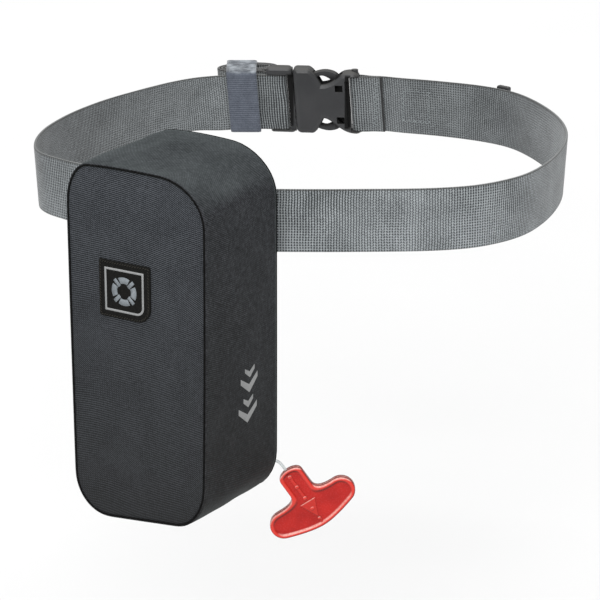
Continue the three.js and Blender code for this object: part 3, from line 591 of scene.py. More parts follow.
# Pouch: front and back panels and a side wall sewn along two seams, then blown up a little from inside
def pouchOutline(inset, depth, steps=14):
    f = pouchForm
    w, h, deep = f["width"], f["top"] - f["bottom"], depth / f["depth"]
    loop = []
    for right, up, shareX, shareZ, start, backGrow in f["corners"]:
        grow = mixed(1, backGrow, deep)
        rx, rz = shareX * w * grow, shareZ * h * grow
        cx, cz = (-rx if right else -w + rx), (f["top"] - rz if up else f["bottom"] + rz)
        loop += arcLine(cx, cz, rx, rz, start, start + 90, steps)
    p, _ = evenLine(loop, count=f["stations"], closed=True)
    down = (f["top"] - p[:, 1]) / h
    middle = (p[:, 0] + w / 2) / (w / 2)
    taper = np.where(middle < 0, f["leftTaper"], mixed(f["rightTaper"], f["leftTaper"], deep))
    arch = mixed(f["archFront"], f["archBack"], deep)
    nearTop = np.maximum(0, 1 - down / 0.25)
    p = np.stack([p[:, 0] - middle * taper * down ** 2,
                  p[:, 1] + p[:, 0] / w * f["bottomSlant"] * down + f["frontLift"] * (1 - deep) * down ** 2
                  + arch * (1 - middle ** 2) * (1 - middle / 2) * nearTop ** 2], 1)
    along = np.roll(p, -1, 0) - np.roll(p, 1, 0)
    along /= np.linalg.norm(along, axis=1)[:, None]
    return np.stack([p[:, 0] - along[:, 1] * inset, p[:, 1] + along[:, 0] * inset], 1)


def pouchPoint(across, depth, z):
    return (*pouchPlan(across, depth), z)


def insideLoop(q, loop):
    x, y = q
    nxt = np.roll(loop, -1, 0)
    crossing = (loop[:, 1] > y) != (nxt[:, 1] > y)
    with np.errstate(divide="ignore", invalid="ignore"):
        at = (nxt[:, 0] - loop[:, 0]) * (y - loop[:, 1]) / (nxt[:, 1] - loop[:, 1]) + loop[:, 0]
    return bool((crossing & (x < at)).sum() % 2)


# Points of a panel on a staggered grid inside its seam, joined to it without gaps
def panelFill(seam):
    step, rowStep = pouchForm["grid"], pouchForm["grid"] * 0.866
    low, high = seam.min(0), seam.max(0)
    inner = []
    for r in range(int((high[1] - low[1]) / rowStep) + 1):
        for c in range(int((high[0] - low[0]) / step) + 2):
            q = np.array([low[0] + step * (c + 0.5 * (r % 2)), low[1] + r * step * 0.866])
            if np.linalg.norm(seam - q, axis=1).min() > step * 0.62 and insideLoop(q, seam):
                inner.append(q)
    points = [Vector(p) for p in (*seam, *inner)]
    edges = [(i, (i + 1) % len(seam)) for i in range(len(seam))]
    result = geometry.delaunay_2d_cdt(points, edges, [], 1, 1e-5)
    return [tuple(v) for v in result[0]], [tuple(f) for f in result[2]]


def pouchBody():
    f, count, last = pouchForm, pouchForm["stations"], pouchForm["rings"] - 1
    depths = np.linspace(f["seamDepth"], f["depth"] - f["seamDepth"], last + 1)
    points = []
    for k, depth in enumerate(depths):
        swell = f["sideSwell"] * math.sin(math.pi * k / last) ** 0.5
        points += [(x, depth, z) for x, z in pouchOutline(f["seamInset"] - swell, depth)]
    faces = sweepFaces(last + 1, count, caps=False)
    parts = [1] * len(faces)
    for ring, outward, crown, part in ((0, -1, f["startCrown"], 0), (last, 1, f["backCrown"], 2)):
        seam = np.array([(p[0], p[2]) for p in points[ring * count:(ring + 1) * count]])
        flat, cells = panelFill(seam)
        first = len(points)
        for q in flat[count:]:
            away = np.linalg.norm(seam - np.array(q), axis=1).min()
            points.append((q[0], depths[ring] + outward * crown * smoothstep(away, 0, 14), q[1]))
        for cell in cells:
            ids = [c + ring * count if c < count else first + c - count for c in cell]
            a, b, c = (np.array(points[i]) for i in ids[:3])
            if np.cross(b - a, c - a)[1] * outward < 0:
                ids = ids[::-1]
            faces.append(tuple(ids))
            parts.append(part)
    return np.array(points), faces, parts


# Soft swelling by the cloth solver: the seams are held, every other point may move only so far
def blowUp(points, faces, held):
    world = [pouchPoint(*p) for p in points]
    piece = newPiece("pouchTrial", world, faces)
    piece.vertex_groups.new(name="sewn").add([int(i) for i in held], 1, "REPLACE")
    settings = piece.modifiers.new("cloth", "CLOTH").settings
    for key, value in pouchForm["solver"].items():
        setattr(settings, key, value)
    settings.effector_weights.gravity = 0
    for number in range(pouchForm["frames"]):
        scene.frame_set(number + 1)
    shaped = piece.evaluated_get(bpy.context.evaluated_depsgraph_get()).to_mesh()
    co = np.empty(len(points) * 3)
    shaped.vertices.foreach_get("co", co)
    bpy.data.objects.remove(piece)
    scene.frame_set(1)
    moved = co.reshape(-1, 3) / mm - np.array(world)
    across, away = turned(moved[:, 0], moved[:, 1], pouchForm["yaw"])
    return np.stack([across, away, moved[:, 2]], 1)


def dentAt(p, coarse, fine):
    return noise.noise(Vector(p) * coarse) + 0.5 * noise.noise(Vector(p) * fine)


def shapedPouch():
    f, count = pouchForm, pouchForm["stations"]
    points, faces, parts = pouchBody()
    sideCount = f["rings"] * count
    move = blowUp(points, faces, [*range(count), *range(sideCount - count, sideCount)])
    size = np.linalg.norm(move, axis=1)
    print("cloth moved, mm: mean", round(float(size.mean()), 2), "most", round(float(size.max()), 2))
    cap = np.where(np.arange(len(points)) < sideCount, f["sideCap"], f["crownCap"])
    move *= (cap * np.tanh(size / cap) / np.maximum(size, 1e-9))[:, None]
    points = points + move
    # slow dents that a filled cloth pouch keeps, gone at the seams
    fromSeam = np.minimum(points[:, 1] - f["seamDepth"], f["depth"] - f["seamDepth"] - points[:, 1])
    seam = points[:count, ::2]
    for i, p in enumerate(points):
        if i < sideCount:
            calm = smoothstep(fromSeam[i], 0, f["sideCalm"])
            out = unit((p - np.array([-f["width"] / 2, p[1], (f["top"] + f["bottom"]) / 2])) * (1, 0, 1))
            points[i] = p + out * calm * f["dent"] * dentAt(p, *f["sideDents"])
        else:
            dent = -f["frontDent"] if p[1] < f["depth"] / 2 else f["backDent"]
            calm = smoothstep(np.linalg.norm(seam - p[::2], axis=1).min(), 0, f["panelCalm"])
            points[i][1] += dent * calm * dentAt(p, *f["panelDents"])
    points[:, 1] = np.clip(points[:, 1], -f["mostForward"], f["depth"] - 0.1)
    return points, faces, parts


def pouchWalls(*walls):
    points, faces, parts = shapedPouch()
    pieces = []
    for part, (name, node, look) in enumerate(walls):
        mine = [f for f, p in zip(faces, parts) if p == part]
        used = sorted({i for f in mine for i in f})
        place = {i: k for k, i in enumerate(used)}
        wall = newPiece(name, [pouchPoint(*points[i]) for i in used],
                        [tuple(place[i] for i in f) for f in mine], look)
        finer = wall.modifiers.new("finer", "SUBSURF")
        finer.levels = finer.render_levels = 1
        thick = wall.modifiers.new("wall", "SOLIDIFY")
        thick.thickness = pouchForm["clothWall"] * mm
        thick.offset = -1
        settle(wall, "pouch_cloth", node)
        pieces.append(wall)
    return pieces, points


# The cloth is darker and browner towards the foot as painted shade, and faces turned up take a lighter, mottled
# green-grey as painted light from above
clothForm = {"footShadeTone": (0.014, 0.013, 0.011), "footShadeShare": 0.58, "topDark": (0.034, 0.04, 0.042),
             "topLight": (0.098, 0.112, 0.115), "upLitShare": 0.6, "rows": ((-0.42, 0.00112), (0.55, 0.0012)),
             "pull": 0.008, "stirring": (12, 1), "mixing": (22, 2), "flecks": (820, 2, 0.6),
             "grains": (300, 3, 0.65), "clouds": (34, 4, 0.6), "dust": (22, 3, 0.55)}


# Coordinates that turn with the pouch, as its panels are cut
def pouchWay(object):
    turn = (0, 0, math.radians(pouchForm["yaw"]))
    return addNode("Mapping", {"Vector": object, "Rotation": turn}).outputs["Vector"]


def clothLook(name, dark, middle, light, rowDepth, fleckDepth, grainDepth):
    f = clothForm
    look, object = newLook(name, Sheen_Weight=0.1, Sheen_Roughness=0.3, Specular_IOR_Level=0.12,
                           Sheen_Tint=(0.75, 0.9, 0.9, 1))
    x, y, high = [axisOf(pouchWay(object), axis) for axis in "XYZ"]
    stirring, mixing, fleck, grain, cloud, dust = [
        noiseOf(object, *f[key]) for key in ("stirring", "mixing", "flecks", "grains", "clouds", "dust")]
    pulled = stirred(high, (stirring, f["pull"]))
    rows = [sineOf(plus(times(plus(x, y), slant), pulled), pitch) for slant, pitch in f["rows"]]
    share = rangeOf(mixing, 0.4, 0.52, 0, 1)
    row = weighed((rows[0], share), (rows[1], minus(1, share)), (times(rows[0], rows[1]), 0.4))
    weave = stirred(plus(times(row, rowDepth), 0.5), (fleck, fleckDepth), (grain, grainDepth), (cloud, 0.35))
    tone = rampOf(weave, (0.1, dark), (0.5, middle), (0.92, light))
    # painted shade: darker and browner towards the foot
    tone = blendOf(rangeOf(high, -0.16, 0.03, f["footShadeShare"], 0), tone, f["footShadeTone"])
    # painted light: faces turned up blend to a lighter green-grey, mottled like dust
    top = rangeOf(axisOf(normalWay(look), "Z"), 0.25, 0.85, 0, f["upLitShare"])
    dust = weighed((dust, 0.6), (fleck, 0.2), (grain, 0.2))
    dustAndTopLight = rampOf(dust, (0.36, f["topDark"]), (0.64, f["topLight"]))
    return linkLook(look, Base_Color=blendOf(top, tone, dustAndTopLight), Roughness=rangeOf(fleck, 0.3, 0.7, 0.74, 0.9),
                    Normal=bumpOf(plus(times(row, 0.35), plus(fleck, grain)), 0.00016, 0.7))


frontCloth = clothLook("wovenFrontCloth", (0.011, 0.0132, 0.015), (0.033, 0.0358, 0.0415), (0.095, 0.103, 0.116),
                       0.4, 0.7, 0.25)
pouchCloth = clothLook("smoothSideCloth", (0.0078, 0.0083, 0.0092), (0.0287, 0.0303, 0.0335), (0.081, 0.084, 0.093),
                       0.2, 0.95, 0.6)
(pouchFront, pouchSide, pouchBack), pouchPoints = pouchWalls(
    ("pouchFront", "pouch_front_panel", frontCloth), ("pouchSideWall", "pouch_gusset", pouchCloth),
    ("pouchBack", "pouch_back_panel", pouchCloth))
print("pouch sewn and filled")

# Seam tape along both edges of the side wall, the back one thicker
seamForm = {"front": 0.62, "back": 1.35, "sides": 8, "spacing": 1.6, "dark": (0.002,) * 3, "light": (0.01,) * 3,
            "ribs": (700, 3, 0.6), "relief": (0.00025, 0.9)}


# Round tape of one radius along a closed line in space
def tapePiece(name, line, radius, look):
    points, up, sides = [], Vector((0, 0, 1)), seamForm["sides"]
    for i in range(len(line)):
        along = Vector(line[(i + 1) % len(line)] - line[i - 1]).normalized()
        up = (up - along * up.dot(along)).normalized() if i else along.orthogonal().normalized()
        side = along.cross(up)
        for k in range(sides):
            turn = 2 * math.pi * k / sides
            points.append(Vector(line[i]) + radius * (math.cos(turn) * up + math.sin(turn) * side))
    return newPiece(name, points, sweepFaces(len(line), sides, joined=True), look)


seamTape = grainLook("blackSeamTape", seamForm["ribs"], seamForm["dark"], seamForm["light"], (0.3, 0.75),
                     seamForm["relief"], Roughness=0.9, Specular_IOR_Level=0.08)
around = pouchForm["stations"]
for end, ring in (("front", 0), ("back", pouchForm["rings"] - 1)):
    seamLine = [pouchPoint(*p) for p in pouchPoints[ring * around:(ring + 1) * around]]
    finerLine, _ = evenLine(seamLine, spacing=seamForm["spacing"], closed=True)
    settle(tapePiece(end + "SeamTape", finerLine, seamForm[end], seamTape), "seam_tape", end + "_seam_binding")
print("seams taped")

# Sleeve on the back of the pouch that the belt runs through
sleeveForm = {"width": 40, "foot": 8, "wall": 2, "spacing": 0.9, "stations": 11}


def sleevePiece(look):
    wall, count = sleeveForm["wall"], sleeveForm["stations"]
    near = pouchForm["depth"] + beltForm["gap"]
    over = pouchForm["depth"] + beltForm["thick"] + 2 * beltForm["sleeveGap"]
    half = beltForm["width"] / 2 + 1
    high = half + wall
    outer = [(near, high + sleeveForm["foot"]), (near + wall, high + sleeveForm["foot"]), (near + wall, high),
             (over + wall, high)]
    inner = [(over, half), (near, half)]
    loop = outer + [(d, -z) for d, z in outer[::-1]] + [(d, -z) for d, z in inner[::-1]] + inner
    soft, reach = evenLine(loop, spacing=sleeveForm["spacing"], closed=True)
    for _ in range(2):
        soft = (np.roll(soft, 1, 0) + 2 * soft + np.roll(soft, -1, 0)) / 4
    points, uvs = [], []
    for s in [2 * k / (count - 1) - 1 for k in range(count)]:
        for (d, z), t in zip(soft, reach):
            points.append(pouchPoint(beltForm["sleeveAt"] + s * sleeveForm["width"] / 2, d, z))
            uvs.append((t / clothSpan, s / 2 + 0.5))
    return newPiece("beltSleeve", points, sweepFaces(count, len(soft)), look, uvs)


settle(sharpAt(sleevePiece(pouchCloth), 60), "pouch_cloth", "pouch_belt_sleeve")
print("sleeve sewn on")

# Patch on the front panel: black woven cloth, lower right corner cut round
patchForm = {"width": 34.6, "height": 33.8, "corner": 1.4, "cut": 9, "across": -52.2, "z": -22.7, "thick": 1.1,
             "rings": (3, 6, 9, 12, 15), "frameInset": 4.1, "frameWidth": 1.3, "printRise": 0.14, "printSink": 0.12,
             "dark": (0.003, 0.003, 0.003), "light": (0.015, 0.0145, 0.013), "twill": 0.0009,
             "flecks": (1300, 3, 0.7)}
frontSurface = surfaceOf(pouchFront)
pouchTurn = math.radians(pouchForm["yaw"])
pouchAway = Vector((math.sin(pouchTurn), math.cos(pouchTurn), 0))


# Depth of the front panel's face under a point of the patch, in millimetres
def frontAt(x, z):
    start = Vector(pouchPoint(patchForm["across"] + x, -40, patchForm["z"] + z)) * mm
    hit = frontSurface.ray_cast(start, pouchAway)[0]
    return -40 + (hit - start).length / mm if hit else 0


def onPatch(x, z, rise):
    return pouchPoint(patchForm["across"] + x, frontAt(x, z) - rise, patchForm["z"] + z)


def patchLoop(inset, steps=8):
    half, tall, corner = patchForm["width"] / 2 - inset, patchForm["height"] / 2 - inset, patchForm["corner"]
    loop = []
    for sx, sz, radius, start in ((1, 1, corner, 0), (-1, 1, corner, 90), (-1, -1, corner, 180),
                                  (1, -1, patchForm["cut"], 270)):
        r = max(radius - inset, 0.25)
        loop += arcLine(sx * (half - r), sz * (tall - r), r, r, start, start + 90, steps)
    return np.array(loop)


# Flat shape laid on the front panel, from loops and their heights; an open one ends where it began
def laidShape(name, loops, look, closedTop=True):
    points = [onPatch(x, z, rise) for loop, rise in loops for x, z in loop]
    count = len(loops[0][0])
    last = (len(loops) - 1) * count
    faces = sweepFaces(len(loops), count, caps=False)
    if closedTop:
        faces += [tuple(range(last, last + count)), tuple(range(count))[::-1]]
    else:
        faces += [(last + j, last + (j + 1) % count, (j + 1) % count, j) for j in range(count)]
    return newPiece(name, points, faces, look)


def patchLook():
    f = patchForm
    look, object = newLook("blackPatchCloth", Roughness=0.8, Specular_IOR_Level=0.1)
    way, fleck = pouchWay(object), noiseOf(object, *f["flecks"])
    twill = sineOf(plus(axisOf(way, "X"), axisOf(way, "Z")), f["twill"])
    return linkLook(look, Base_Color=rampOf(plus(times(twill, 0.15), fleck), (0.3, f["dark"]), (0.8, f["light"])),
                    Normal=bumpOf(plus(times(twill, 0.5), fleck), 0.00012, 0.8))


printForm = {"worn": (1500, 4, 0.75), "clouds": (120, 3)}


def printLook(name, dark, light):
    look, object = newLook(name, Roughness=0.65, Specular_IOR_Level=0.3)
    worn, cloud = noiseOf(object, *printForm["worn"]), noiseOf(object, *printForm["clouds"])
    return linkLook(look, Base_Color=rampOf(weighed((worn, 0.7), (cloud, 0.3)), (0.3, dark), (0.6, light)),
                    Roughness=rangeOf(worn, 0.3, 0.7, 0.5, 0.75), Normal=bumpOf(worn, 0.0001, 0.6))


def patchPiece(look):
    thick = patchForm["thick"]
    loops = [(patchLoop(0), 0.05), (patchLoop(0), thick - 0.3), (patchLoop(0.3), thick)]
    return laidShape("frontPatch", loops + [(patchLoop(inset), thick) for inset in patchForm["rings"]], look)


greyPrint = printLook("paleGreyPrint", (0.2, 0.205, 0.205), (0.33, 0.335, 0.335))
bluePrint = printLook("blueGreyPrint", (0.13, 0.15, 0.165), (0.24, 0.265, 0.285))
settle(sharpAt(patchPiece(patchLook()), 50), "patch_cloth", "front_patch")
printTop = patchForm["thick"] + patchForm["printRise"]
printFoot = printTop - patchForm["printSink"]
frame1, frame2 = [patchLoop(patchForm["frameInset"] + k * patchForm["frameWidth"]) for k in (0, 1)]
settle(laidShape("patchFrame", [(frame1, printFoot), (frame1, printTop), (frame2, printTop), (frame2, printFoot)],
                 greyPrint, closedTop=False), "patch_cloth")

# A plain life ring printed inside the frame: four arcs with a rope wrap between each two
ringForm = {"outer": 8.4, "inner": 4.7, "gapTurn": 17, "wrapHalf": 1.1, "wrapOver": 0.7}


def arcLoop(start, end, steps=12):
    outer, inner = [arcLine(0, 0, ringForm[k], ringForm[k], start, end, steps) for k in ("outer", "inner")]
    return np.array(outer + inner[::-1])


def wrapLoop(turn):
    near, far = ringForm["inner"] - ringForm["wrapOver"], ringForm["outer"] + ringForm["wrapOver"]
    half = ringForm["wrapHalf"]
    return np.array([turned(x, z, turn) for x, z in ((near, -half), (far, -half), (far, half), (near, half))])


for number in range(4):
    turn, gap = 45 + number * 90, ringForm["gapTurn"]
    for name, loop in (("ringArc", arcLoop(turn + gap, turn + 90 - gap)), ("ringWrap", wrapLoop(turn))):
        settle(laidShape(f"{name}{number + 1}", [(loop, printFoot), (loop, printTop)], bluePrint), "patch_cloth")

# Stitches: short rounded threads, each lying on the surface between its two ends
stitchForm = {"profile": ((0, 0.25, -0.6), (0.2, 0.85, 0.1), (0.5, 1, 0.35), (0.8, 0.85, 0.1), (1, 0.25, -0.6)),
              "sides": 6, "inset": 1.15, "pitch": 1.7, "length": 1.3, "slant": 0.45, "radius": 0.2,
              "twist": (2400, 2, 0.6)}
# On the belt: a zigzag across the fold, and a box with zigzag sides further along
beltStitchForm = {"foldX": (49.4, 53.0), "foldZ": (-16, 15.5), "foldPitch": 1.45, "boxX": (68.4, 87.3),
                  "boxZ": (-11.5, 10.6), "boxSide": 2.1, "boxPitch": 1.6, "radius": 0.27, "sink": 0.08}


def stitchPiece(name, stitches, radius, look, outward):
    points, faces = [], []
    out, profile, sides = np.array(outward, float), stitchForm["profile"], stitchForm["sides"]
    for start, end in np.array(stitches, float):
        side = np.cross(unit(end - start), out)
        first = len(points)
        for share, size, rise in profile:
            middle = start + (end - start) * share + out * rise * radius
            for k in range(sides):
                turn = 2 * math.pi * k / sides
                points.append(middle + radius * size * (math.cos(turn) * side + math.sin(turn) * out))
        faces += [tuple(first + i for i in face) for face in sweepFaces(len(profile), sides)]
    return newPiece(name, points, faces, look)


def patchStitches():
    f, stitches = stitchForm, []
    loop, _ = evenLine(patchLoop(f["inset"]), spacing=f["pitch"], closed=True)
    for i, place in enumerate(loop):
        along = unit(loop[(i + 1) % len(loop)] - loop[i - 1])
        lie = along * f["length"] / 2 + np.array((-along[1], along[0])) * f["slant"]
        stitches.append([onPatch(x, z, patchForm["thick"] + 0.05) for x, z in (place - lie, place + lie)])
    return stitches


def threadLook(name, dark, light):
    return grainLook(name, stitchForm["twist"], dark, light, Roughness=0.6, Specular_IOR_Level=0.3)


def zigzag(x0, x1, z0, z1, pitch):
    count = int(abs(z1 - z0) / pitch)
    return [((x0, x1)[i % 2], z0 + (z1 - z0) * i / count) for i in range(count + 1)]


def beltStitches():
    f, surface, stitches = beltStitchForm, surfaceOf(waistBelt), []
    (x0, x1), (z0, z1), side = f["boxX"], f["boxZ"], f["boxSide"]
    fold = zigzag(*f["foldX"], *f["foldZ"], f["foldPitch"])
    left = zigzag(x0, x0 + side, z0, z1, f["boxPitch"])
    right = zigzag(x1 - side, x1, z0, z1, f["boxPitch"])
    foot = [(z, x) for x, z in zigzag(z0, z0 + side, x0, x1, f["boxPitch"])]
    top = [(x0 + side + (x1 - x0 - side) * i / 5, z1) for i in range(6)]
    for line in (fold, left, right, foot, top):
        hits = [surface.ray_cast(Vector((x, 60, z)) * mm, Vector((0, 1, 0)))[0] for x, z in line]
        ends = [(x, hit.y / mm - f["sink"], z) for (x, z), hit in zip(line, hits)]
        stitches += list(zip(ends, ends[1:]))
    return stitches


greyThread = threadLook("greyThread", (0.13, 0.145, 0.15), (0.36, 0.39, 0.4))
blackThread = threadLook("blackThread", (0.012, 0.011, 0.008), (0.045, 0.04, 0.03))
settle(stitchPiece("beltStitches", beltStitches(), beltStitchForm["radius"], greyThread, (0, -1, 0)), "webbing")
settle(stitchPiece("patchStitches", patchStitches(), stitchForm["radius"], blackThread, -pouchAway), "patch_cloth")
print("patch sewn on")

# Four printed chevrons down the side wall: depth and height of the low point, half width, band
chevronForm = {"tips": [(47.8, -80.8, 5.1, 3.6), (46.9, -89.7, 9.0, 4.9), (45.8, -98.7, 5.1, 3.9),
                        (45.4, -108.1, 9.7, 5.0)],
               "slope": 0.78, "sink": 0.02, "rise": 0.15, "endShare": 0.7, "spacing": 1.5}
sideSurface = surfaceOf(pouchSide)


def sidePoint(depth, z, lift):
    start = Vector(pouchPoint(30, depth, z)) * mm
    hit = sideSurface.ray_cast(start, Vector((-math.cos(pouchTurn), math.sin(pouchTurn), 0)))[0]
    return pouchPoint(30 - (start - hit).length / mm + lift, depth, z)


def chevronPiece(name, depth, z, half, band, look):
    f = chevronForm
    wing, thin = z + half * f["slope"], band * f["endShare"]
    corners = np.array([(depth - half, wing), (depth, z), (depth + half, wing),
                        (depth + half, wing + thin), (depth, z + band), (depth - half, wing + thin)])
    loop = []
    for a, b in zip(corners, np.roll(corners, -1, 0)):
        steps = max(1, int(np.linalg.norm(b - a) / f["spacing"]))
        loop += [a + (b - a) * i / steps for i in range(steps)]
    points = [sidePoint(d, h, lift) for lift in (f["sink"], f["rise"]) for d, h in loop]
    return newPiece(name, points, sweepFaces(2, len(loop)), look, smooth=False)


for number, tip in enumerate(chevronForm["tips"]):
    settle(chevronPiece(f"chevron{number + 1}", *tip, greyPrint), "pouch_cloth")
print("chevrons printed")

# Pull handle in glossy red plastic: raised rim, sunken face, rib and boss
handleForm = {"place": (7.5, -140, -177.6), "tilt": 34, "thick": 6, "spacing": 20.6, "lobe": 8.5, "belly": 13.1,
              "stemHalf": 7.7, "stemShift": 0.9, "stemTop": 30.3, "rim": 2.1, "recess": 0.9, "stations": 180,
              "studs": ((24.2, 1.3), (16.5, 1.25), (8, 1.25), (0, 1.2), (-7.5, 1.0)), "studRise": 0.85,
              "redDark": (0.36, 0.008, 0.006), "redLight": (0.5, 0.016, 0.011), "rimHighlight": (0.66, 0.045, 0.032),
              "slopeShade": (0.12, 0.008, 0.006), "slopeShine": (0.95, 0.5, 0.44), "wallShade": (0.09, 0.018, 0.014),
              "clouds": (90, 3), "specks": (900, 3, 0.6)}


def bezier(points, count):
    out = []
    for i in range(1, count + 1):
        p = [np.array(q, float) for q in points]
        while len(p) > 1:
            p = [a + (b - a) * (i / count) for a, b in zip(p, p[1:])]
        out.append(p[0])
    return out


def handleLoop(inset):
    f = handleForm
    radius, half, top, belly = f["lobe"] - inset, f["stemHalf"] - inset, f["stemTop"] - inset, f["belly"] - inset
    notch = radius - 0.5
    right, left, lobe, shoulder = f["stemShift"] + half, f["stemShift"] - half, f["spacing"], top - half * 0.8
    loop = [(right, notch + 6), (right, shoulder)]
    loop += bezier([(right, shoulder), (right, top), (left, top), (left, shoulder)], 24)
    loop += [(left, notch + 6), *bezier([(left, notch + 6), (left, notch), (-lobe + 2, radius)], 12)]
    loop += arcLine(-lobe, 0, radius, radius, 90, 252, 20)
    loop += bezier([loop[-1], (-lobe * 0.4, -belly), (0, -belly)], 10)
    far = arcLine(lobe, 0, radius, radius, -72, 90, 20)
    loop += [*bezier([(0, -belly), (lobe * 0.4, -belly), far[0]], 10), *far[1:]]
    loop += bezier([(lobe, radius), (right, notch), (right, notch + 6)], 12)[:-1]
    return evenLine(loop, count=f["stations"], closed=True)[0]


def handlePoint(x, depth, z):
    across, high = turned(x, z, handleForm["tilt"])
    place = handleForm["place"]
    return place[0] + across, place[1] + depth, place[2] + high


def redLook():
    f = handleForm
    look, object = newLook("glossyRedPlastic", Roughness=0.25, Specular_IOR_Level=0.22, Coat_Weight=0.12,
                           Coat_Roughness=0.06)
    cloud, speck, normal = noiseOf(object, *f["clouds"]), noiseOf(object, *f["specks"]), normalWay(look)
    depth = awayFrom(axisOf(object, "Y"), f["place"][1] * mm)
    slope = addNode("VectorMath", {0: normal, 1: (-0.42, 0, 0.9)}, operation="DOT_PRODUCT").outputs["Value"]
    facing = mathOf("ABSOLUTE", axisOf(normal, "Y"))
    shine = times(rangeOf(slope, 0.2, 0.5, 0, 0.8), rangeOf(speck, 0.35, 0.6, 0.5, 1))
    tone = rampOf(cloud, (0.3, f["redDark"]), (0.7, f["redLight"]))
    # painted light on the moulding: the raised rim lighter as a painted highlight, slopes turned from the light
    # darker as painted shade, slopes turned to it with painted glints, and the side walls darker as painted shade
    for share, colour in ((rangeOf(depth, 0.0024, 0.0029, 0, 1), "rimHighlight"),
                          (rangeOf(slope, -0.1, -0.45, 0, 0.85), "slopeShade"), (shine, "slopeShine"),
                          (rangeOf(facing, 0.12, 0.35, 0.85, 0), "wallShade")):
        tone = blendOf(share, tone, f[colour])
    return linkLook(look, Base_Color=tone, Roughness=rangeOf(speck, 0.3, 0.7, 0.16, 0.34),
                    Normal=bumpOf(cloud, 0.0006, 0.25))


# Half the section of the rim, as inset and depth, goes round both faces
def handlePiece(look):
    half, rim = handleForm["thick"] / 2, handleForm["rim"]
    face = half - handleForm["recess"]
    profile = [(rim + 1.6, face), (rim + 0.95, face + 0.06), (rim + 0.4, face + 0.36), (rim - 0.1, half - 0.16),
               (rim - 0.6, half), (1.1, half), (0.55, half - 0.15), (0.2, half - 0.5), (0.03, half - 1.1), (0, 0.25)]
    rings = [(inset, -depth) for inset, depth in profile] + [(0.14, -0.12), (0.14, 0.12)] + profile[::-1]
    points = [handlePoint(x, depth, z) for inset, depth in rings for x, z in handleLoop(inset)]
    return newPiece("pullHandle", points, sweepFaces(len(rings), handleForm["stations"]), look)


# Low ribs and studs moulded on both faces of the handle
def mouldedRaise(points, faces, loop, face, height, side):
    first, loop = len(points), np.array(loop)
    middle = loop.mean(0)
    levels = [(1.0, -0.35), (1.0, height * 0.4), (0.93, height * 0.85), (0.8, height)]
    for share, rise in levels:
        for x, z in middle + (loop - middle) * share:
            points.append(handlePoint(x, side * (face + rise), z))
    for quad in sweepFaces(len(levels), len(loop)):
        faces.append(tuple(first + i for i in (quad if side < 0 else quad[::-1])))


def handleRelief(look):
    face = handleForm["thick"] / 2 - handleForm["recess"]
    raised = [(evenLine([(0, -6.8), (5.3, 5.3), (-5.5, 5.4)], count=48, closed=True)[0], 0.5),
              (roundedLoop(-0.9, 0.9, 8, 24, 0.85), 0.55), (roundedLoop(-0.7, 0.7, -11, -8.2, 0.6), 0.4)]
    raised += [(arcLine(0, z, radius, radius, 0, 360, 16)[:-1], handleForm["studRise"])
               for z, radius in handleForm["studs"]]
    points, faces = [], []
    for side in (-1, 1):
        for loop, height in raised:
            mouldedRaise(points, faces, loop, face, height, side)
    return newPiece("handleRelief", points, faces, look)


redPlastic = redLook()
pullHandle = settle(sharpAt(handlePiece(redPlastic), 40), "red_plastic", "pull_handle")
settle(sharpAt(handleRelief(redPlastic), 50), "red_plastic")
print("handle moulded")

# Buckle: the CAD's own pieces in satin plastic, with painted shade, near black, in the deep recesses beside the two
# bars;
# each hollow as its middle along the buckle, the half width in full painted shade, and where the shade ends
plasticForm = {"dark": (0.027, 0.028, 0.03), "light": (0.043, 0.0435, 0.0455), "dustAndTopLight": (0.115, 0.113, 0.106),
               "deep": (0.003, 0.003, 0.003), "rough": 0.4, "recesses": [(-16.4, 1.9, 3.0), (22.7, 1.5, 2.3)],
               "notch": (7.5, 5.5, 10.5), "windowShade": (17.5, 3, 3.5), "faceFrom": -5.9 * mm,
               "clouds": (60, 3), "grain": (2200, 2, 0.7)}


# Share of painted shade along the buckle about one hollow
def hollowAt(place, hollow, share=1):
    middle, full, none = (x * mm for x in hollow)
    return rangeOf(awayFrom(place, middle), full, none, share, 0)


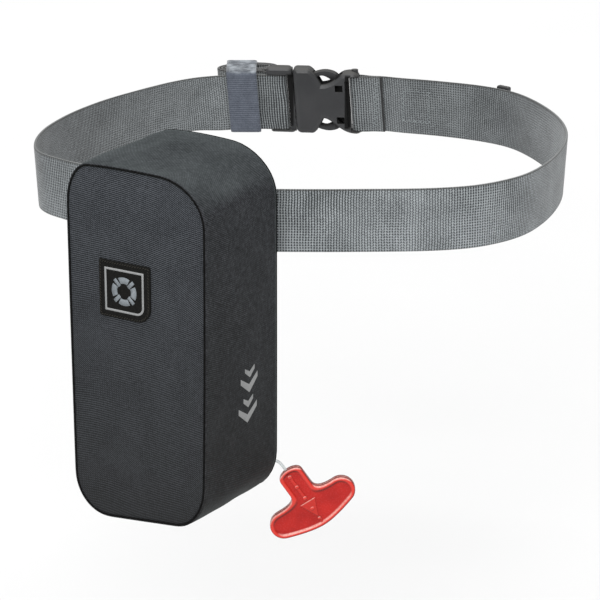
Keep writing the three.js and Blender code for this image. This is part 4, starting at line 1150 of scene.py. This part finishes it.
def plasticLook(name):
    f = plasticForm
    look, object = newLook(name, Specular_IOR_Level=0.38)
    cloud, grain = noiseOf(object, *f["clouds"]), noiseOf(object, *f["grain"])
    tone = rampOf(weighed((cloud, 0.7), (grain, 0.3)), (0.3, f["dark"]), (0.7, f["light"]))
    x, y = turned(buckleForm["x"], buckleForm["y"], -buckleForm["yaw"])
    ownWay = addNode("Mapping", {"Vector": object, "Location": (-x * mm, -y * mm, 0),
                                 "Rotation": (0, 0, math.radians(-buckleForm["yaw"]))}).outputs["Vector"]
    place, back = axisOf(ownWay, "X"), axisOf(ownWay, "Y")
    height = awayFrom(axisOf(ownWay, "Z"), buckleForm["rise"] * mm)
    inside = rangeOf(height, 0.0178, 0.0192, 1, 0)
    # faces turned up lighter: partly dust and partly painted light from above
    tone = blendOf(rangeOf(axisOf(normalWay(look), "Z"), 0.3, 0.9, 0, 0.5), tone, f["dustAndTopLight"])
    dull = rangeOf(grain, 0.3, 0.7, f["rough"] - 0.06, f["rough"] + 0.08)
    # painted shade deep in the two notches, where the arms run behind the face
    notchShade = times(hollowAt(place, f["notch"], 0.85), rangeOf(back, f["faceFrom"], f["faceFrom"] + 1.2 * mm, 0, 1))
    notchShade = times(notchShade, rangeOf(height, 0.016, 0.019, 1, 0.3))
    # painted shade in the windows, seen through into the buckle
    windowShade = times(hollowAt(place, f["windowShade"]), rangeOf(back, f["faceFrom"], f["faceFrom"] + 0.6 * mm, 0, 1))
    shades = [(notchShade, 0.5), (times(windowShade, inside), 0)]
    shades += [(times(hollowAt(place, recess), inside), 0.6) for recess in f["recesses"]]
    # each painted shade blends towards near black and dulls the surface
    for share, dulling in shades:
        tone = blendOf(share, tone, f["deep"])
        dull = plus(dull, times(share, dulling))
    return linkLook(look, Base_Color=tone, Roughness=addNode("Clamp", {"Value": dull}).outputs["Result"],
                    Normal=bumpOf(grain, 0.00006, 0.5))


bucklePlastic = plasticLook("darkSatinPlastic")
for node in ("buckle_socket", "buckle_plug", "belt_side_tab"):
    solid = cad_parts[node].data
    solid.materials.clear()
    solid.materials.append(bucklePlastic)
print("buckle dressed")

# Plain pale floor and soft light
studio = {"floor": -0.42, "half": 4000, "dark": (0.75,) * 3, "light": (0.76,) * 3, "room": 0.3,
          "suns": [("topSun", (0.05, 0.15, -1), 50, 2.6), ("frontSun", (0.16, 1, -0.5), 35, 1.6)]}


def floorPiece():
    half = studio["half"]
    look, object = newLook("paleFloor", Roughness=0.95, Specular_IOR_Level=0.1)
    linkLook(look, Base_Color=rampOf(noiseOf(object, 3, 2), (0.3, studio["dark"]), (0.7, studio["light"])))
    points = [(-half, -half, 0), (half, -half, 0), (half, half, 0), (-half, half, 0)]
    floor = newPiece("paleFloor", points, [(0, 1, 2, 3)], look)
    floor.location.z = studio["floor"]


def softSun(name, towards, spread, strength):
    data = bpy.data.lights.new(name, "SUN")
    data.angle = math.radians(spread)
    data.energy = strength
    light = bpy.data.objects.new(name, data)
    light.rotation_euler = Vector(towards).to_track_quat("-Z", "Y").to_euler()
    light.location = Vector(towards) * -2
    scene.collection.objects.link(light)


floorPiece()
for sun in studio["suns"]:
    softSun(*sun)
scene.world = bpy.data.worlds.new("paleRoom")
scene.world.use_nodes = True
room = scene.world.node_tree.nodes["Background"].inputs
room["Color"].default_value = (1, 1, 1, 1)
room["Strength"].default_value = studio["room"]
print("lights on")
